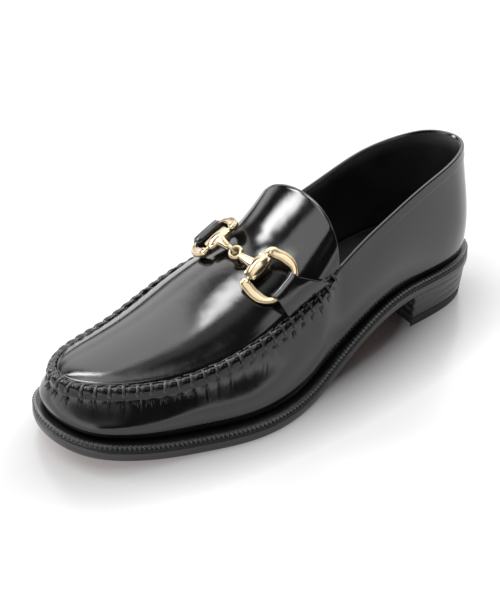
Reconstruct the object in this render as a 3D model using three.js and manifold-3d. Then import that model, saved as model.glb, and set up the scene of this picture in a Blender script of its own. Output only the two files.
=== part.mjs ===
// Bit loafer, left shoe: a moccasin-toe leather slip-on with a metal bit across the vamp.
// Millimetres. +Y points to the toe, +X to the medial (inner) side, +Z up.
// The origin lies on the floor under the middle of the heel.
import * as THREE from "three";
import { mergeVertices } from "three/addons/utils/BufferGeometryUtils.js";
import Module from "manifold-3d";

const wasm = await Module();
wasm.setup();

// Driving dimensions of the shoe
const shoe = {
  length: 290,
  ballWidth: 103.5,
  heelHeight: 22,
  backHeight: 95,
  instepHeight: 102,
  toeSpring: 9.9,
};
const sole = {
  thickness: 5.5,
  weltThickness: 3.5,
  liftThickness: 6,
  treadBack: 0.579,
  treadFront: 0.731,
  breast: 0.224,
  springPower: 1.9,
  heelCentre: 33,
  edgeRound: 0.8,
  treadInset: 1.2,
  weltReach: 7,
  shelf: 6.6,
};
const heel = { taper: 2.2, lean: 2, hollow: 3, curveSteps: 9, breastSteps: 6 };
const leather = { wall: 2, insole: 3, strap: 1.5, chamfer: 0.5, bulge: 7 };
const gap = 0.3;

// Welt: a toothed upper edge of its own pitch and depth
const teeth = { pitch: 2.5, depth: 0.8, height: 1.9, crest: 0.15, plainSteps: 3 };

// Ridge of the moccasin seam and the folded band at the collar
const ridge = { out: 5.2, drop: 4.8, height: 2.4, crest: 0.28, lean: 0.45, inner: 0.75 };
const band = { width: 5, step: 0.5, round: 0.1, lip: 0.4 };

// Metal bit, measured outward from the middle of the shoe, along it and up, in each half's own plane
const bit = {
  at: 0.593,
  medial: 0.7,
  clearance: 6.6,
  restGap: 0.9,
  probes: 60,
  slopeSpan: 12,
  ringDrop: 15,
  barrelAt: 18.2,
  barrelLength: 14.4,
  barrelWidth: 9,
  barrelHeight: 6.6,
  barrelBevel: 1.6,
  ringOut: 18.3,
  ringHalf: 12.5,
  ringWidth: 5.6,
  ringHeight: 3.4,
  barWidth: 3.2,
  knobRadius: 3.1,
  knobLong: 0.9,
  knobTall: 0.85,
  neckRadius: 1.6,
  armRadius: 3.3,
  armTall: 0.8,
  armTip: 1.6,
  eyeRadius: 3.1,
  eyeWire: 1.15,
  armGap: 0.2,
  holdFrom: 0.5,
  holdTo: 0.95,
};
// How each half lies, in degrees: pitch beyond the vamp's slope, outward end to the rear and down
const hangs = {
  medial: { tilt: -9, sweep: 6.5, roll: 11.5 },
  lateral: { tilt: -13, sweep: 1, roll: 9.5 },
};
// Middle line of the ring from its front shoulder to the bar under the strap; the rear mirrors it.
// out: beyond the barrel's middle; along: towards the toe; both as shares of the ring's reach
const ringTable = [
  { out: 0.02, along: 0.848 },
  { out: 0.14, along: 0.915 },
  { out: 0.32, along: 0.98 },
  { out: 0.5, along: 1 },
  { out: 0.72, along: 0.95 },
  { out: 0.9, along: 0.78 },
  { out: 0.985, along: 0.5 },
  { out: 1, along: 0.2 },
];
const shoulder = { out: ringTable[0].out * bit.ringOut, along: ringTable[0].along * bit.ringHalf };
// Straps: where they leave the seam, how much of the bar they hold, and the turned-in end
const strap = {
  seamFront: 4,
  seamRear: 31,
  seamOut: 0.9,
  seamUp: 1.7,
  flareOut: 2.4,
  flareUp: 1.6,
  barFront: 7.8,
  barRear: 7.8,
  belly: 0.8,
  bellyRear: 1.2,
  tuck: 0.6,
  clearance: 0.6,
  flank: 0.85,
  flankProbe: 3,
};

// Stations per side from heel to toe, and rows up the wall
const stations = 38;
const wallRows = 7;
const ribSegments = 14;

// Sole outline. at: share of the length; half and centre: shares of the ball width
const toeCentre = 0.048;
const soleTable = [
  { at: 0.03, half: 0.207, centre: 0.0 },
  { at: 0.1, half: 0.304, centre: 0.0 },
  { at: 0.22, half: 0.326, centre: -0.005 },
  { at: 0.35, half: 0.328, centre: -0.04 },
  { at: 0.48, half: 0.392, centre: -0.054 },
  { at: 0.6, half: 0.484, centre: -0.056 },
  { at: 0.69, half: 0.496, centre: -0.046 },
  { at: 0.78, half: 0.455, centre: -0.013 },
  { at: 0.86, half: 0.412, centre: 0.018 },
  { at: 0.93, half: 0.344, centre: 0.041 },
  { at: 0.975, half: 0.24, centre: 0.047 },
];
// Shelf of the welt outside the upper. share: of its full width
const shelfTable = [
  { at: 0, share: 0.515 },
  { at: 0.25, share: 0.576 },
  { at: 0.45, share: 0.788 },
  { at: 0.6, share: 0.97 },
  { at: 1, share: 1 },
];
// Rim of the wall: moccasin seam in front, topline of the collar behind.
// at: share of the rim's own length; half, centre: shares of the ball width; rise: share of the back height
const rim = { back: 6, front: 13 };
const rimShare = (back) => (back - rim.back) / (shoe.length - rim.back - rim.front);
const rimBack = (share) => rim.back + (shoe.length - rim.back - rim.front) * share;
const rimTable = [
  { at: 0.0, half: 0, centre: 0, rise: 1 },
  { at: 0.03, half: 0.14, centre: 0, rise: 1 },
  { at: 0.08, half: 0.207, centre: 0, rise: 0.985 },
  { at: 0.19, half: 0.262, centre: -0.012, rise: 0.948 },
  { at: 0.315, half: 0.285, centre: -0.03, rise: 0.856 },
  { at: 0.385, half: 0.302, centre: -0.033, rise: 0.79 },
  { at: 0.461, half: 0.328, centre: -0.03, rise: 0.7 },
  { at: 0.531, half: 0.348, centre: -0.018, rise: 0.615 },
  { at: 0.642, half: 0.38, centre: -0.006, rise: 0.528 },
  { at: 0.753, half: 0.357, centre: 0.003, rise: 0.447 },
  { at: 0.845, half: 0.3, centre: 0.016, rise: 0.41 },
  { at: 0.95, half: 0.19, centre: 0.05, rise: 0.416 },
  { at: 1.0, half: 0, centre: 0.065, rise: 0.426 },
];
const collarFront = 0.461;
// The seam's ridge grows from nothing to its full size over these shares round the collar's front corner
const seamStart = 0.01;
const seamFull = 0.07;
// Bulge of the wall: outward pull of its lower and upper half, as shares of the full bulge
const wallLift = 0.38;
const bulgeTable = [
  { at: 0, low: 0.43, high: 0.43 },
  { at: 0.1, low: 0.5, high: 0.43 },
  { at: 0.22, low: 0.71, high: 0.43 },
  { at: 0.35, low: 1, high: 0.36 },
  { at: 0.48, low: 0.86, high: 0.36 },
  { at: 0.6, low: 0.71, high: 0.36 },
  { at: 0.8, low: 0.71, high: 0.36 },
  { at: 1, low: 0.79, high: 0.43 },
];
// Apron and tongue along the middle. at: share of the length; rise: share of the instep height;
// flat and round: the exponents of the cross-section
const apronTable = [
  { at: 0.45, rise: 0.99, flat: 2.0, round: 0.34 },
  { at: 0.517, rise: 0.795, flat: 2.0, round: 0.52 },
  { at: 0.586, rise: 0.7, flat: 2.0, round: 0.72 },
  { at: 0.65, rise: 0.628, flat: 2.1, round: 0.8 },
  { at: 0.724, rise: 0.553, flat: 2.2, round: 0.85 },
  { at: 0.81, rise: 0.493, flat: 2.3, round: 0.85 },
  { at: 0.88, rise: 0.456, flat: 2.3, round: 0.85 },
  { at: 0.93, rise: 0.43, flat: 2.3, round: 0.85 },
  { at: 0.955, rise: 0.41, flat: 2.3, round: 0.85 },
];
// The tongue's free edge bows to the rear in its middle, and forward at its sides
const tongue = { bow: 4, level: 0.6, blend: 0.06 };
// Most that the apron may rise for its half width, so that it stays shallow in the narrow toe
const crown = { narrow: 0.5, wide: 2, wideFrom: 20 };

// Natural cubic spline through a table's rows
function spline(xs, ys) {
  const n = xs.length;
  const second = new Array(n).fill(0);
  const work = new Array(n).fill(0);
  for (let i = 1; i < n - 1; i++) {
    const share = (xs[i] - xs[i - 1]) / (xs[i + 1] - xs[i - 1]);
    const pivot = share * second[i - 1] + 2;
    const slopes = (ys[i + 1] - ys[i]) / (xs[i + 1] - xs[i]) - (ys[i] - ys[i - 1]) / (xs[i] - xs[i - 1]);
    second[i] = (share - 1) / pivot;
    work[i] = ((6 * slopes) / (xs[i + 1] - xs[i - 1]) - share * work[i - 1]) / pivot;
  }
  for (let i = n - 2; i >= 0; i--) second[i] = second[i] * second[i + 1] + work[i];
  second[n - 1] = 0;
  return (x) => {
    const value = Math.min(Math.max(x, xs[0]), xs[n - 1]);
    let k = 1;
    while (k < n - 1 && xs[k] < value) k++;
    const width = xs[k] - xs[k - 1];
    const a = (xs[k] - value) / width;
    const b = (value - xs[k - 1]) / width;
    const bend = (a ** 3 - a) * second[k - 1] + (b ** 3 - b) * second[k];
    return a * ys[k - 1] + b * ys[k] + (bend * width * width) / 6;
  };
}

const angleOf = (share) => Math.acos(1 - 2 * share);
const shareOf = (angle) => (1 - Math.cos(angle)) / 2;
const column = (table, name) => spline(table.map((row) => row.at), table.map((row) => row[name]));
const smooth = (from, to, x) => THREE.MathUtils.smoothstep(x, from, to);

// Width and centre of the sole by station angle, so that heel and toe close as round curves
const soleHalf = spline(
  [0, ...soleTable.map((row) => angleOf(row.at)), Math.PI],
  [0, ...soleTable.map((row) => row.half * shoe.ballWidth), 0],
);
const soleCentre = spline(
  [0, ...soleTable.map((row) => row.at), 1],
  [0, ...soleTable.map((row) => row.centre * shoe.ballWidth), toeCentre * shoe.ballWidth],
);
const shelfShare = column(shelfTable, "share");
const shelfInset = (share) => shelfShare(share) * sole.shelf;
const rimAngles = rimTable.map((row) => angleOf(row.at));
const rimHalf = spline(rimAngles, rimTable.map((row) => row.half * shoe.ballWidth));
const rimCentre = spline(rimTable.map((row) => row.at), rimTable.map((row) => row.centre * shoe.ballWidth));
const rimRise = spline(rimTable.map((row) => row.at), rimTable.map((row) => row.rise * shoe.backHeight));
const bulgeLow = column(bulgeTable, "low");
const bulgeHigh = column(bulgeTable, "high");
const apronRise = column(apronTable, "rise");
const apronFlat = column(apronTable, "flat");
const apronRound = column(apronTable, "round");

// Height of the outsole's underside over the floor: toe spring, flat tread, arch, heel seat
function undersideAt(back) {
  const share = back / shoe.length;
  if (share > sole.treadFront) {
    return shoe.toeSpring * ((share - sole.treadFront) / (1 - sole.treadFront)) ** sole.springPower;
  }
  if (share < sole.treadBack) {
    const climb = Math.min(1, (sole.treadBack - share) / (sole.treadBack - sole.breast));
    return (shoe.heelHeight * (1 - Math.cos(Math.PI * climb))) / 2;
  }
  return 0;
}
const seatAt = (back) => undersideAt(back) + sole.thickness + sole.weltThickness;

// Point of the sole's outline; side is +1 medial, -1 lateral; back is measured from the heel's back
function outline(side, angle) {
  const share = shareOf(angle);
  return new THREE.Vector2(soleCentre(share) + side * soleHalf(angle), share * shoe.length);
}

function outward(side, angle) {
  const step = 0.02;
  const before = outline(side, Math.max(angle - step, 0));
  const after = outline(side, Math.min(angle + step, Math.PI));
  if (angle <= 0) return new THREE.Vector2(0, -1);
  if (angle >= Math.PI) return new THREE.Vector2(0, 1);
  const along = after.sub(before).normalize();
  return new THREE.Vector2(side * along.y, -side * along.x);
}

// Outline moved inward by a distance
function insetOutline(side, angle, distance) {
  return outline(side, angle).addScaledVector(outward(side, angle), -distance);
}

function featherPoint(side, angle, distance = 0) {
  const plan = insetOutline(side, angle, shelfInset(shareOf(angle)) + distance);
  return new THREE.Vector3(plan.x, plan.y, seatAt(plan.y) + gap);
}

function rimPoint(side, angle) {
  const share = shareOf(angle);
  return new THREE.Vector3(rimCentre(share) + side * rimHalf(angle), rimBack(share), rimRise(share));
}

// How much of the seam's ridge there is at a share of the rim: 0 at the collar, 1 along the apron
const seamWeight = (share) => smooth(collarFront - seamStart, collarFront + seamFull, share);

// The wall is a curve that leaves the welt, bulges and turns in under the ridge
function wallEnds(side, angle) {
  const share = shareOf(angle);
  const out = outward(side, angle);
  const low = featherPoint(side, angle);
  const high = rimPoint(side, angle);
  const weight = seamWeight(share);
  high.x += out.x * ridge.out * weight;
  high.y += out.y * ridge.out * weight;
  high.z -= ridge.drop * weight;
  return { share, out: new THREE.Vector3(out.x, out.y, 0), low, high };
}

function wallPoint(side, angle, t, depth = 0) {
  const { share, out, low, high } = wallEnds(side, angle);
  const lift = (high.z - low.z) * wallLift;
  const curve = new THREE.CubicBezierCurve3(
    low,
    low.clone().addScaledVector(out, bulgeLow(share) * leather.bulge).add(new THREE.Vector3(0, 0, lift)),
    high.clone().addScaledVector(out, bulgeHigh(share) * leather.bulge).add(new THREE.Vector3(0, 0, -lift)),
    high,
  );
  const point = curve.getPoint(t);
  if (!depth) return point;
  const along = curve.getTangent(t);
  const level = t === 0 ? out : out.clone().multiplyScalar(along.z).setZ(-along.dot(out));
  return point.addScaledVector(level.normalize(), -depth);
}

// Height of the apron over its rim, from the middle out to the seam (offset -1 to 1)
const apronShape = (offset, back) => {
  const share = back / shoe.length;
  return (1 - Math.min(1, Math.abs(offset)) ** apronFlat(share)) ** apronRound(share);
};

function ribPoint(medial, lateral, offset, drop) {
  const point = medial.clone().lerp(lateral, (1 - offset) / 2);
  const top = apronRise(point.y / shoe.length) * shoe.instepHeight - drop;
  const half = medial.distanceTo(lateral) / 2;
  const most = half * crown.narrow + Math.max(half - crown.wideFrom, 0) * crown.wide;
  const rise = THREE.MathUtils.clamp(top - point.z, 0, most);
  const shape = apronShape(offset, point.y);
  const free = 1 - smooth(collarFront, collarFront + tongue.blend, rimShare(point.y));
  point.z += rise * shape;
  point.y -= free * tongue.bow * (shape - tongue.level) * (1 - Math.abs(offset) ** 6);
  return point;
}

// Apron surface at a place, for the straps that lie on it
function apronHeight(x, back) {
  const share = rimShare(back);
  const middle = rimCentre(share);
  const half = rimHalf(angleOf(share));
  const base = rimRise(share);
  const top = apronRise(back / shoe.length) * shoe.instepHeight;
  return base + Math.max(top - base, 0) * apronShape((x - middle) / half, back);
}

// Half width of the apron's or tongue's flank at a place and height, 0 above the crown
function flankHalf(back, height) {
  const share = rimShare(back);
  const base = rimRise(share);
  const top = apronRise(back / shoe.length) * shoe.instepHeight;
  const rise = THREE.MathUtils.clamp((height - base) / (top - base), 0, 1);
  const inner = 1 - rise ** (1 / apronRound(back / shoe.length));
  return rimHalf(angleOf(share)) * inner ** (1 / apronFlat(back / shoe.length));
}

// Mesh made of named points: rows of one closed loop each, strips between them, and ribs across
class Skin {
  constructor() {
    this.points = [];
    this.faces = [];
  }
  add(point) {
    this.points.push(point);
    return this.points.length - 1;
  }
  addRow(points) {
    return points.map((point) => this.add(point));
  }
  face(a, b, c) {
    if (a !== b && b !== c && a !== c) this.faces.push([a, b, c]);
  }
  quad(a, b, c, d) {
    this.face(a, b, c);
    this.face(a, c, d);
  }
  strip(lower, upper, closed) {
    const count = closed ? lower.length : lower.length - 1;
    for (let i = 0; i < count; i++) {
      const next = (i + 1) % lower.length;
      this.quad(lower[i], lower[next], upper[next], upper[i]);
    }
  }
  // Strip between two closed rows with different counts of points
  zip(lower, lowerPlaces, upper, upperPlaces) {
    let i = 0;
    let j = 0;
    const shareAt = (places, index) => (index < places.length ? places[index].share : 1 + 1e-9 * index);
    while (i < lower.length || j < upper.length) {
      const here = lower[i % lower.length];
      const above = upper[j % upper.length];
      const lowerFirst = shareAt(lowerPlaces, i + 1) <= shareAt(upperPlaces, j + 1);
      if (j >= upper.length || (i < lower.length && lowerFirst)) {
        this.face(here, lower[(i + 1) % lower.length], above);
        i++;
      } else {
        this.face(here, upper[(j + 1) % upper.length], above);
        j++;
      }
    }
  }
  fan(row, up) {
    const flat = row.map((index) => new THREE.Vector2(this.points[index].x, this.points[index].y));
    for (const [a, b, c] of THREE.ShapeUtils.triangulateShape(flat, [])) {
      if (up) this.face(row[a], row[b], row[c]);
      else this.face(row[a], row[c], row[b]);
    }
  }
  geometry() {
    const made = new THREE.BufferGeometry();
    const shift = sole.heelCentre;
    const values = this.points.flatMap((p) => [p.x, p.y - shift, p.z]);
    made.setAttribute("position", new THREE.Float32BufferAttribute(values, 3));
    made.setIndex(this.faces.flat());
    return made;
  }
}

// Station angles from heel to toe; the collar's front corner is one of them
function stationAngles() {
  const corner = angleOf(collarFront);
  const behind = Math.round((stations * corner) / Math.PI);
  const ahead = stations - behind;
  const angles = [];
  for (let i = 0; i < behind; i++) angles.push((corner * i) / behind);
  for (let i = 0; i <= ahead; i++) angles.push(corner + ((Math.PI - corner) * i) / ahead);
  return { angles, cornerIndex: behind };
}
const { angles, cornerIndex } = stationAngles();

// Whole loop, counter-clockwise seen from above: heel, medial side, toe, lateral side
const loopStations = [
  ...angles.map((angle, index) => ({ side: 1, angle, index })),
  ...angles
    .map((angle, index) => ({ side: -1, angle, index }))
    .slice(1, -1)
    .reverse(),
];
const medialOf = (row, index) => row[index];
const lateralOf = (row, index) => row[index === 0 || index === stations ? index : 2 * stations - index];

// Plate with planar ribs from side to side: outsole, insole
function plate(levels) {
  const skin = new Skin();
  const rows = levels.map((level) => skin.addRow(loopStations.map(({ side, angle }) => {
    const plan = insetOutline(side, angle, level.inset(shareOf(angle)));
    return new THREE.Vector3(plan.x, plan.y, level.height(plan.y));
  })));
  for (let i = 0; i + 1 < rows.length; i++) skin.strip(rows[i], rows[i + 1], true);
  const bottom = rows[0];
  const top = rows[rows.length - 1];
  for (let i = 0; i < stations; i++) {
    skin.quad(lateralOf(top, i), medialOf(top, i), medialOf(top, i + 1), lateralOf(top, i + 1));
    skin.quad(medialOf(bottom, i), lateralOf(bottom, i), lateralOf(bottom, i + 1), medialOf(bottom, i + 1));
  }
  return skin.geometry();
}

function outsole() {
  const edge = sole.edgeRound;
  return plate([
    { inset: () => sole.treadInset, height: undersideAt },
    { inset: () => 0, height: (back) => undersideAt(back) + edge },
    { inset: () => 0, height: (back) => undersideAt(back) + sole.thickness - edge / 2 },
    { inset: () => edge / 2, height: (back) => undersideAt(back) + sole.thickness },
  ]);
}

// The insole is a board inside the wall with a thicker middle that fills the welt's ring
function insole() {
  const wallSide = (share) => shelfInset(share) + leather.wall + gap;
  const ringSide = (share) => shelfInset(share) + sole.weltReach + gap;
  const under = (back) => undersideAt(back) + sole.thickness + gap;
  const board = (back) => seatAt(back) + gap;
  return plate([
    { inset: ringSide, height: under },
    { inset: ringSide, height: board },
    { inset: (share) => wallSide(share) + leather.chamfer, height: board },
    { inset: (share) => wallSide(share), height: (back) => board(back) + leather.chamfer },
    { inset: (share) => wallSide(share), height: (back) => board(back) + leather.insole },
  ]);
}

// Places round the outline at equal steps; crest marks every second one
function evenPlaces(count) {
  const fine = 2000;
  const angleAt = (i) => (Math.PI * (i <= fine ? i : 2 * fine - i)) / fine;
  const at = (i) => outline(i <= fine ? 1 : -1, angleAt(i));
  const lengths = [0];
  for (let i = 1; i <= 2 * fine; i++) lengths.push(lengths[i - 1] + at(i).distanceTo(at(i - 1)));
  const around = lengths[2 * fine];
  const steps = 2 * Math.round(around / count / 2);
  const made = [];
  let k = 0;
  for (let j = 0; j < steps; j++) {
    const want = (around * j) / steps;
    while (lengths[k + 1] < want) k++;
    const place = k + (want - lengths[k]) / (lengths[k + 1] - lengths[k]);
    made.push({ side: place <= fine ? 1 : -1, angle: angleAt(place), crest: j % 2 === 0, share: j / steps });
  }
  return made;
}

// The welt is a ring whose upper outer edge has teeth of equal pitch
function welt() {
  const skin = new Skin();
  const fine = evenPlaces(teeth.pitch / 2);
  const coarse = evenPlaces(teeth.pitch * teeth.plainSteps);
  const low = (back) => undersideAt(back) + sole.thickness + gap;
  const level = (places, inset, height) => skin.addRow(places.map((place) => {
    const plan = insetOutline(place.side, place.angle, inset(place));
    return new THREE.Vector3(plan.x, plan.y, height(plan.y));
  }));
  const inner = (place) => shelfInset(shareOf(place.angle)) + sole.weltReach;
  const cut = (place) => (place.crest ? teeth.crest : teeth.depth);
  const innerLow = level(coarse, inner, low);
  const outerLow = level(coarse, () => sole.edgeRound / 2, low);
  const root = level(fine, () => 0, (back) => seatAt(back) - teeth.height);
  const crown = level(fine, cut, seatAt);
  const innerTop = level(coarse, inner, seatAt);
  skin.strip(innerLow, outerLow, true);
  skin.zip(outerLow, coarse, root, fine);
  skin.strip(root, crown, true);
  skin.zip(crown, fine, innerTop, coarse);
  skin.strip(innerTop, innerLow, true);
  return skin.geometry();
}

// Heel: the sole's rear outline down to the floor, with a slightly hollow breast
function heelBlock(bottom, top) {
  const skin = new Skin();
  const count = heel.curveSteps;
  const breastBack = sole.breast * shoe.length;
  const last = angleOf(sole.breast);
  const rows = [bottom, top].map((height) => {
    const depth = (shoe.heelHeight - height) / shoe.heelHeight;
    const taper = sole.edgeRound + heel.taper * depth;
    const points = [];
    const push = (side, angle) => {
      const plan = insetOutline(side, angle, taper);
      points.push(new THREE.Vector3(plan.x, Math.min(plan.y, breastBack), height));
    };
    for (let i = 0; i <= count; i++) push(1, (last * i) / count);
    const medial = points[count].x;
    const lateral = insetOutline(-1, last, taper).x;
    for (let j = 1; j < heel.breastSteps; j++) {
      const across = j / heel.breastSteps;
      const back = breastBack - heel.lean * depth - heel.hollow * 4 * across * (1 - across);
      points.push(new THREE.Vector3(THREE.MathUtils.lerp(medial, lateral, across), back, height));
    }
    for (let i = count; i > 0; i--) push(-1, (last * i) / count);
    return skin.addRow(points);
  });
  skin.strip(rows[0], rows[1], true);
  skin.fan(rows[1], true);
  skin.fan(rows[0], false);
  return skin.geometry();
}

// Upper: wall, ridge, apron and tongue outside, and the same shape one wall inside
function upper() {
  const skin = new Skin();
  const rowOf = (make) => skin.addRow(loopStations.map(make));
  const outer = [];
  const inner = [];
  const bandShare = (share) => band.width / (rimRise(share) - seatAt(rimBack(share)));
  const topShare = (share) => 1 - (1 - seamWeight(share)) * bandShare(share);
  for (let k = 0; k <= wallRows; k++) {
    const t = k / wallRows;
    outer.push(rowOf(({ side, angle }) => wallPoint(side, angle, t * topShare(shareOf(angle)))));
  }
  const crestPoint = (side, angle, across, stepShare) => {
    const share = shareOf(angle);
    const weight = seamWeight(share);
    const { out, high } = wallEnds(side, angle);
    const foot = rimPoint(side, angle);
    const top = high.clone().lerp(foot, across);
    top.addScaledVector(out, ridge.height * ridge.lean * weight);
    top.z += ridge.height * weight;
    const collarAt = stepShare + (1 - stepShare) * topShare(share);
    const collar = wallPoint(side, angle, collarAt, -band.step);
    return collar.lerp(top, weight);
  };
  outer.push(rowOf(({ side, angle }) => crestPoint(side, angle, ridge.crest, band.round)));
  outer.push(rowOf(({ side, angle }) => crestPoint(side, angle, 1 - ridge.crest, 1)));
  outer.push(rowOf(({ side, angle }) => {
    const weight = seamWeight(shareOf(angle));
    const edge = wallPoint(side, angle, 1, -band.step * band.lip);
    edge.z += band.step;
    return edge.lerp(rimPoint(side, angle), weight);
  }));
  for (let k = 0; k <= wallRows; k++) {
    const t = k / wallRows;
    inner.push(rowOf(({ side, angle }) => {
      const share = shareOf(angle);
      const wall = wallPoint(side, angle, t * topShare(share), leather.wall);
      if (k < wallRows) return wall;
      const collar = wallPoint(side, angle, 1, leather.wall);
      const seam = rimPoint(side, angle);
      const { out } = wallEnds(side, angle);
      seam.addScaledVector(out, -leather.wall * ridge.inner);
      seam.z -= leather.wall;
      return collar.lerp(seam, seamWeight(share));
    }));
  }
  for (let i = 0; i + 1 < outer.length; i++) skin.strip(outer[i], outer[i + 1], true);
  for (let i = 0; i + 1 < inner.length; i++) skin.strip(inner[i + 1], inner[i], true);
  skin.strip(inner[0], outer[0], true);

  const outerRim = outer[outer.length - 1];
  const innerRim = inner[inner.length - 1];
  const rib = (row, index, drop) => {
    const ends = [medialOf(row, index), lateralOf(row, index)];
    if (ends[0] === ends[1]) return new Array(ribSegments + 1).fill(ends[0]);
    const [medial, lateral] = ends.map((end) => skin.points[end]);
    const made = [ends[0]];
    for (let j = 1; j < ribSegments; j++) {
      made.push(skin.add(ribPoint(medial, lateral, Math.cos((Math.PI * j) / ribSegments), drop)));
    }
    made.push(ends[1]);
    return made;
  };
  let outerRib = rib(outerRim, cornerIndex, 0);
  let innerRib = rib(innerRim, cornerIndex, leather.wall);
  skin.strip(outerRib, innerRib, false);
  for (let i = cornerIndex + 1; i <= stations; i++) {
    const nextOuter = rib(outerRim, i, 0);
    const nextInner = rib(innerRim, i, leather.wall);
    skin.strip(nextOuter, outerRib, false);
    skin.strip(innerRib, nextInner, false);
    outerRib = nextOuter;
    innerRib = nextInner;
  }
  for (let i = 0; i < cornerIndex; i++) {
    const [outMedial, outMedialNext] = [medialOf(outerRim, i), medialOf(outerRim, i + 1)];
    const [outLateral, outLateralNext] = [lateralOf(outerRim, i), lateralOf(outerRim, i + 1)];
    skin.quad(outMedial, outMedialNext, medialOf(innerRim, i + 1), medialOf(innerRim, i));
    skin.quad(lateralOf(innerRim, i), lateralOf(innerRim, i + 1), outLateralNext, outLateral);
  }
  return skin.geometry();
}

// Closed solid of a three.js geometry, ready for joining
function solid(geometry) {
  const bare = geometry.clone();
  bare.deleteAttribute("normal");
  bare.deleteAttribute("uv");
  const merged = mergeVertices(bare, 1e-4);
  return new wasm.Manifold(new wasm.Mesh({
    numProp: 3,
    vertProperties: merged.attributes.position.array,
    triVerts: new Uint32Array(merged.index.array),
  }));
}

function joined(geometries) {
  const whole = geometries.map(solid).reduce((sum, next) => sum.add(next));
  const mesh = whole.getMesh();
  const made = new THREE.BufferGeometry();
  made.setAttribute("position", new THREE.BufferAttribute(mesh.vertProperties, 3));
  made.setIndex(Array.from(mesh.triVerts));
  return made;
}

// Plane of one half of the bit: outward, forward and up, pitched with the vamp and swept back
const bitBack = bit.at * shoe.length;
function loweredFrame(side) {
  const turn = THREE.MathUtils.degToRad;
  const hang = side > 0 ? hangs.medial : hangs.lateral;
  const middle = rimCentre(rimShare(bitBack)) + bit.medial;
  const fall = apronHeight(middle, bitBack + bit.slopeSpan) - apronHeight(middle, bitBack - bit.slopeSpan);
  const pitch = Math.atan2(fall, 2 * bit.slopeSpan) + turn(hang.tilt);
  const forward = new THREE.Vector3(0, Math.cos(pitch), Math.sin(pitch));
  const up = new THREE.Vector3(0, -Math.sin(pitch), Math.cos(pitch));
  const out = new THREE.Vector3(side, 0, 0);
  const swept = out.clone().multiplyScalar(Math.cos(turn(hang.sweep)));
  swept.addScaledVector(forward, -Math.sin(turn(hang.sweep)));
  const ahead = forward.clone().multiplyScalar(Math.cos(turn(hang.sweep)));
  ahead.addScaledVector(out, Math.sin(turn(hang.sweep)));
  const dropped = swept.clone().multiplyScalar(Math.cos(turn(hang.roll)));
  dropped.addScaledVector(up, -Math.sin(turn(hang.roll)));
  const above = up.clone().multiplyScalar(Math.cos(turn(hang.roll)));
  above.addScaledVector(swept, Math.sin(turn(hang.roll)));
  const height = apronHeight(middle, bitBack) + bit.clearance;
  const frame = new THREE.Matrix4().makeBasis(dropped, ahead, above);
  return frame.setPosition(middle, bitBack, height);
}

// Where a ring would touch the apron, both halves are lifted until it lies a rest gap above it
function ringLift() {
  const lifts = [1, -1].flatMap((side) => {
    const frame = loweredFrame(side);
    const points = ringCurve().getSpacedPoints(bit.probes).map((point) => point.applyMatrix4(frame));
    const over = points.filter((point) => {
      const share = rimShare(point.y);
      return Math.abs(point.x - rimCentre(share)) < rimHalf(angleOf(share));
    });
    return over.map((point) => apronHeight(point.x, point.y) + bit.ringHeight / 2 + bit.restGap - point.z);
  });
  return Math.max(0, ...lifts);
}

function bitFrame(side) {
  const frame = loweredFrame(side);
  frame.elements[14] += ringLift();
  return frame;
}

function ringCurve() {
  const slope = Math.tan(THREE.MathUtils.degToRad(bit.ringDrop));
  const front = ringTable.map((row) => {
    const out = row.out * bit.ringOut;
    return new THREE.Vector3(bit.barrelAt + out, row.along * bit.ringHalf, -out * slope);
  });
  const rear = front.map((point) => new THREE.Vector3(point.x, -point.y, point.z)).reverse();
  return new THREE.CatmullRomCurve3([...front, ...rear]);
}

// Oval section swept along the ring's middle line, with both ends closed
function ringGeometry() {
  const curve = ringCurve();
  const steps = 26;
  const around = 8;
  const skin = new Skin();
  const up = new THREE.Vector3(0, 0, 1);
  const rows = [];
  for (let i = 0; i <= steps; i++) {
    const middle = curve.getPointAt(i / steps);
    const along = curve.getTangentAt(i / steps);
    const side = along.clone().cross(up).normalize();
    const above = side.clone().cross(along);
    const held = smooth(bit.holdFrom, bit.holdTo, (middle.x - bit.barrelAt) / bit.ringOut);
    const width = THREE.MathUtils.lerp(bit.ringWidth, bit.barWidth, held);
    const row = [];
    for (let j = 0; j < around; j++) {
      const turn = (2 * Math.PI * j) / around;
      const point = middle.clone().addScaledVector(side, (Math.cos(turn) * width) / 2);
      row.push(point.addScaledVector(above, (Math.sin(turn) * bit.ringHeight) / 2));
    }
    rows.push(skin.addRow(row));
  }
  for (let i = 0; i < steps; i++) skin.strip(rows[i + 1], rows[i], true);
  for (let j = 1; j + 1 < around; j++) {
    skin.face(rows[0][0], rows[0][j], rows[0][j + 1]);
    skin.face(rows[steps][0], rows[steps][j + 1], rows[steps][j]);
  }
  return skin.geometry().translate(0, sole.heelCentre, 0);
}

function barrelGeometry() {
  const wide = bit.barrelWidth / 2 - bit.barrelBevel;
  const long = bit.barrelLength / 2 - bit.barrelBevel;
  const face = new THREE.Shape();
  face.moveTo(-wide, -long);
  face.lineTo(wide, -long);
  face.lineTo(wide, long);
  face.lineTo(-wide, long);
  const depth = bit.barrelHeight - 2 * bit.barrelBevel;
  const block = new THREE.ExtrudeGeometry(face, {
    depth,
    bevelThickness: bit.barrelBevel,
    bevelSize: bit.barrelBevel,
    bevelSegments: 3,
  });
  return block.translate(bit.barrelAt, 0, -depth / 2);
}

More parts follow.
